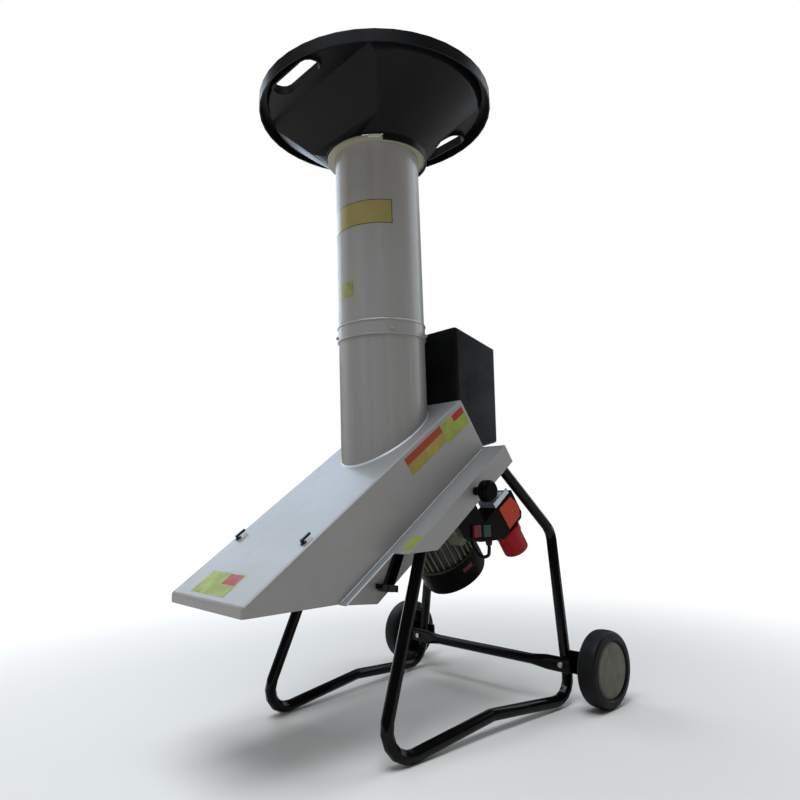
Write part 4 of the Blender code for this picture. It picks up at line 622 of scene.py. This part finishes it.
def label_on_tube(name, start, end, low, high, look):
    """A film round the tube between two bearings and two heights."""
    shape = bmesh.new()
    centre = Vector((0, TUBE_Y, 0))
    out = turn_about(start, "Z") @ Vector((TUBE_R + FILM, 0, 0))
    corners = [shape.verts.new(centre + out + UP * height) for height in (low, high)]
    edge = shape.edges.new(corners)
    sweep = math.radians(end - start)
    bmesh.ops.spin(shape, geom=[*corners, edge], cent=centre, axis=UP, angle=sweep, steps=48)
    bmesh.ops.remove_doubles(shape, verts=shape.verts, dist=TOUCH)
    bmesh.ops.solidify(shape, geom=shape.faces[:], thickness=FILM_THICK)
    bmesh.ops.recalc_face_normals(shape, faces=shape.faces)
    show(shape, name, look, "machine")


def label_on_sheet(name, low, high, look):
    """A thin film on a sheet, given by two corners in slope coordinates."""
    low, high = Vector(low), Vector(high)
    shape = bmesh.new()
    bmesh.ops.create_cube(shape, size=1.0)
    bmesh.ops.scale(shape, vec=high - low, verts=shape.verts)
    bmesh.ops.translate(shape, vec=(high + low) / 2, verts=shape.verts)
    bmesh.ops.transform(shape, matrix=ON_SLOPE, verts=shape.verts)
    round_edges(shape, FILM_EDGE, segments=1)
    show(shape, name, look, "machine")


def tube_labels():
    """A yellow film with a thin dark border, and a small yellow-green one below it."""
    start, end, low, high = -128, -23, 1.0820, 1.1380
    border, border_turn = 0.0015, 1
    film = Finish("tube_label_film", (0.50, 0.40, 0.13), 0.3, Coat_Weight=0.3, Coat_Roughness=0.1)
    sideways = film.bearing().within(start + border_turn, end - border_turn)
    upright = film.along(UP).within(low + border, high - border)
    fade = film.spread(film.noise(14, 3), 0.3, 0.7)
    yellow = film.blend(fade, (0.29, 0.24, 0.085), (0.25, 0.205, 0.07))
    film.colour(film.blend(sideways * upright, (0.030, 0.026, 0.018), yellow))
    film.roughness(0.26 + 0.1 * fade)
    film.bump(film.noise(90, 2), 0.05, 0.0004)
    label_on_tube("tube_label", start, end, low, high, film.material)
    small = Finish("small_label_film", (0.42, 0.42, 0.10), 0.32, Coat_Weight=0.3, Coat_Roughness=0.1)
    fade = small.spread(small.noise(60, 3), 0.3, 0.7)
    small.colour(small.blend(fade, (0.25, 0.25, 0.065), (0.17, 0.175, 0.065)))
    small.roughness(0.3 + 0.12 * fade)
    small.bump(small.noise(90, 2), 0.05, 0.0004)
    label_on_tube("tube_label_small", -104.5, -79, 0.9205, 0.9560, small.material)


def sheet_label(name, low, high, tones, across, zone=None, stripe=None):
    """A film in two mottled tones. A plain stripe fills its zone, given up the slope and across."""
    film = Finish(name + "_film", tones[0], 0.4, Specular_IOR_Level=0.2)
    fade = film.spread(film.noise(40, 3), 0.3, 0.7)
    tone = film.blend(fade, *tones)
    if zone:
        first = film.along(UP_SLOPE, SLOPE_ORIGIN).within(zone[0], zone[1])
        second = film.along(across, SLOPE_ORIGIN).within(zone[2], zone[3])
        tone = film.blend(first * second, tone, stripe)
    film.colour(tone)
    film.roughness(0.36 + 0.1 * fade)
    film.bump(film.noise(90, 2), 0.05, 0.0004)
    label_on_sheet(name, low, high, film.material)


def hood_labels():
    """Four plain films on the hood and the pan. Three of them have a red stripe."""
    skin = HOOD_HALF + FILM
    amber = ((0.34, 0.27, 0.05), (0.26, 0.21, 0.055))
    lime = ((0.29, 0.33, 0.045), (0.22, 0.26, 0.05))
    sheet_label("hood_side_label", (HOOD_HALF, -0.091, -0.051), (skin, 0.041, -0.010), amber, OFF_SLOPE,
                (-0.092, 0.042, -0.0265, -0.009), (0.30, 0.040, 0.013))
    sheet_label("hood_side_label_upper", (HOOD_HALF, 0.041, -0.057), (skin, 0.130, -0.012), lime, OFF_SLOPE,
                (0.086, 0.128, -0.0285, -0.013), (0.30, 0.018, 0.013))
    sheet_label("hood_front_label", (-0.073, -0.520, 0.0), (0.052, -0.464, FILM), lime, SIDEWAYS,
                (-0.492, -0.466, 0.0, 0.048), (0.30, 0.014, 0.016))
    sheet_label("tray_label", (0.167, -0.225, PAN_TOP_N), (0.191, -0.184, PAN_TOP_N + FILM), lime, SIDEWAYS)


# Small fittings and the funnel's skin

def funnel_skin(look):
    """The funnel, with the long bends beside its flats shaded soft and its edges broken."""
    shape = copy_of("feed_funnel")
    round_edges(shape, 0.0009, over=43)
    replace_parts(show(shape, "funnel_skin", look, "machine", smooth=43), "feed_funnel")


def band_clip(look):
    """The light clip that closes the pale band under the funnel."""
    low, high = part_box("funnel_band")
    play, sheet = 0.0002, 0.002
    inner = (high.x - low.x) / 2 + play
    outer = inner + sheet
    start, end = -50, -36
    outline = [(inner, 0.0), (outer, 0.0006), (outer, 0.0060), (inner, 0.0066)]
    clip = spun(outline, 8, angle=math.radians(end - start))
    bmesh.ops.holes_fill(clip, edges=clip.edges)
    bmesh.ops.recalc_face_normals(clip, faces=clip.faces)
    place = Matrix.Translation((0, TUBE_Y, low.z)) @ turn_about(start, "Z")
    bmesh.ops.transform(clip, matrix=place, verts=clip.verts)
    show(clip, "band_clip", look, "machine")


def button_frame(button, look):
    """A thin raised rim round a push button."""
    low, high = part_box(button)
    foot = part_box("switch_cover")[1].x + 0.0001
    play, width, rise = 0.0006, 0.0014, 0.0012
    reach = Vector((0, play + width, play + width))
    low, high = low - reach, high + reach
    corners = ((low.y, low.z), (high.y, low.z), (high.y, high.z), (low.y, high.z))
    rim = bmesh.new()
    middle = rim.faces.new([rim.verts.new((foot, y, z)) for y, z in corners])
    rim.normal_update()
    bmesh.ops.inset_region(rim, faces=[middle], thickness=width, use_boundary=True, use_even_offset=True)
    rim.faces.remove(middle)
    drawn_out(rim, (rise, 0, 0))
    round_edges(rim, 0.0003)
    show(rim, "rim_of_" + button, look, "machine")


def cowl_mark(look):
    """A small plain red film near the fan cowl's edge."""
    low, high = -0.2590, -0.2490
    inner, outer = COWL_R + FILM, COWL_R + 2 * FILM
    start, sweep = -26, 20
    across = turn_about(start, OFF_SLOPE) @ SIDEWAYS
    mark = spun([(inner, low), (outer, low), (outer, high), (inner, high)], 10, MOTOR_CENTRE, OFF_SLOPE,
                math.radians(sweep), across)
    bmesh.ops.holes_fill(mark, edges=mark.edges)
    bmesh.ops.recalc_face_normals(mark, faces=mark.faces)
    show(mark, "cowl_mark", look, "machine")


# Wheels

def wheel(name, side, rubber, disc):
    """A solid tyre with round shoulders and a ring step on each face, and its hub's disc."""
    low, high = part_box("tyre_" + name)
    centre = (low + high) / 2
    radius = (high.z - low.z) / 2
    half = (high.x - low.x) / 2
    seat, bevel = 0.0613, 0.003
    shoulder, crown, tread = 0.009, 0.0012, 0.006
    step, step_run = 0.0008, 0.001
    ring = radius - shoulder - 0.006
    near = [(seat, half - bevel), (seat + bevel, half), (ring, half), (ring + step_run, half - step)]
    near += arc((radius - crown - shoulder, half - shoulder - step), shoulder, 90, 8, 6)
    near += [(radius, tread)]
    outline = near + [(reach, -x) for reach, x in reversed(near)]
    tyre = spun(outline, 96, centre, (side, 0, 0), across=UP)
    cover = show(tyre, "tyre_cover_" + name, rubber, "wheel_" + name, smooth=40)
    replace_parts(cover, "tyre_" + name)
    dress("hub_" + name, disc, 0.0008, over=25, smooth=30)


# Assembly

set_camera()
set_studio()
lay_floor()

# Pale paint for the foot weld and the edge beads: a painted highlight, standing in for the light they catch.
EDGE = painted_steel("pale_painted_highlight", (0.50, 0.52, 0.55), (0.42, 0.43, 0.44))
COLLAR = collar_paint()
GREY = painted_steel("grey_paint", PAINT, (0.23, 0.215, 0.19))
TUBE_GREY = painted_steel("tube_paint", (0.265, 0.258, 0.244), (0.23, 0.22, 0.20), (9, 9, 0.35))
FUNNEL_BLACK = moulded_plastic("funnel_plastic", (0.0046, 0.0046, 0.0054), 0.36, gloss=0.09)
BLACK = moulded_plastic("black_plastic", (0.0030, 0.0031, 0.0040), 0.30, gloss=0.18)
BOX_BLACK = moulded_plastic("switch_plastic", (0.0016, 0.0016, 0.0018), 0.30, 1100, 0.15, 0.04)
ENAMEL = tube_enamel()
RUBBER = tyre_rubber()
STEEL = bare_steel("bright_steel", (0.52, 0.52, 0.53), 0.3)
DARK_STEEL = bare_steel("blued_steel", (0.035, 0.037, 0.042), 0.32)
CAST = cast_paint()
RED = moulded_plastic("red_plastic", (0.30, 0.004, 0.009), 0.36, 700, 0.08, 0.15)
DEEP_RED = moulded_plastic("deep_red", (0.125, 0.004, 0.012), 0.40, 700, 0.08, 0.2)
GREEN = moulded_plastic("green_plastic", (0.003, 0.048, 0.024), 0.40, 700, 0.08, 0.2)
ORANGE = moulded_plastic("orange_plate", (0.42, 0.034, 0.010), 0.38, 500, 0.05, 0.15)
OLIVE = moulded_plastic("olive_band", (0.26, 0.25, 0.17), 0.45, 500, 0.1)
PALE = moulded_plastic("pale_clip", (0.42, 0.42, 0.34), 0.35, 500, 0.1)
ZINC = zinc_plate()
COPPER = winding()
DISC = wheel_disc()

# The finish of each part that keeps its form, with the width of its broken edges
LOOKS = {
    "hood": (GREY, 0.0006), "throat_plate": (GREY, 0.0005), "base_pan": (GREY, 0.0008),
    "chute_shell": (GREY, 0.0006), "hood_screw_left": (DARK_STEEL, 0.0005),
    "hood_screw_right": (DARK_STEEL, 0.0005),
    "funnel_band": (OLIVE, 0.0004), "rear_hopper": (BLACK, 0.0006),
    "front_bracket_left": (ENAMEL, 0.0006), "front_bracket_right": (ENAMEL, 0.0006),
    "side_frame_left": (ENAMEL, 0.0), "side_frame_right": (ENAMEL, 0.0), "crossbar": (ENAMEL, 0.0),
    "axle_left": (ENAMEL, 0.0006), "axle_right": (ENAMEL, 0.0006),
    "axle_cap_left": (STEEL, 0.0006), "axle_cap_right": (STEEL, 0.0006),
    "crossbar_bolt_left": (STEEL, 0.0005), "crossbar_bolt_right": (STEEL, 0.0005),
    "cutting_disc": (STEEL, 0.0004), "knife_1": (STEEL, 0.0003), "knife_2": (STEEL, 0.0003),
    "counter_knife": (STEEL, 0.0005), "counter_knife_bolt_left": (STEEL, 0.0003),
    "counter_knife_bolt_right": (STEEL, 0.0003), "disc_bolt": (STEEL, 0.0005), "motor_shaft": (STEEL, 0.0006),
    "motor_flange": (CAST, 0.0006), "motor_housing": (CAST, 0.0005), "rear_bell": (CAST, 0.0006),
    "terminal_box": (CAST, 0.0010), "terminal_lid": (CAST, 0.0008),
    "fan_cowl": (BOX_BLACK, 0.0004), "cooling_fan": (BLACK, 0.0004),
    "switch_box": (BOX_BLACK, 0.0010), "switch_cover": (BOX_BLACK, 0.0006), "switch_plate": (ORANGE, 0.0004),
    "stop_button": (DEEP_RED, 0.0012), "start_button": (GREEN, 0.0012), "switch_bracket": (ZINC, 0.0005),
    "inlet_socket": (RED, 0.0006), "inlet_pins": (BLACK, 0.0003),
    "switch_gland": (BLACK, 0.0006), "motor_gland": (BLACK, 0.0006), "motor_lead": (RUBBER, 0.0),
    "clamp_knob": (BOX_BLACK, 0.0010),
}
# Inner parts that keep the frame's own mesh and only take a finish
HIDDEN = {"stator": COPPER, "rotor_core": STEEL, "front_bearing": STEEL, "rear_bearing": STEEL}

for node, (look, width) in LOOKS.items():
    dress(node, look, width)
for node, look in HIDDEN.items():
    data = frame["nodes"][node].data
    data.materials.clear()
    data.materials.append(look)

lower_section(TUBE_GREY)
upper_section(TUBE_GREY)
tube_weld("upper", SEAM_Z + WELD_STOP, WELD_TOP_Z, TUBE_GREY)
tube_weld("lower", WELD_LOW_Z, SEAM_Z - WELD_STOP, TUBE_GREY)
collar(COLLAR)
foot_weld(EDGE)
sheet_edges(EDGE)
tube_labels()
hood_labels()
funnel_skin(FUNNEL_BLACK)
band_clip(PALE)
cowl_mark(DEEP_RED)
button_frame("stop_button", BOX_BLACK)
button_frame("start_button", BOX_BLACK)
wheel("left", 1, RUBBER, DISC)
wheel("right", -1, RUBBER, DISC)
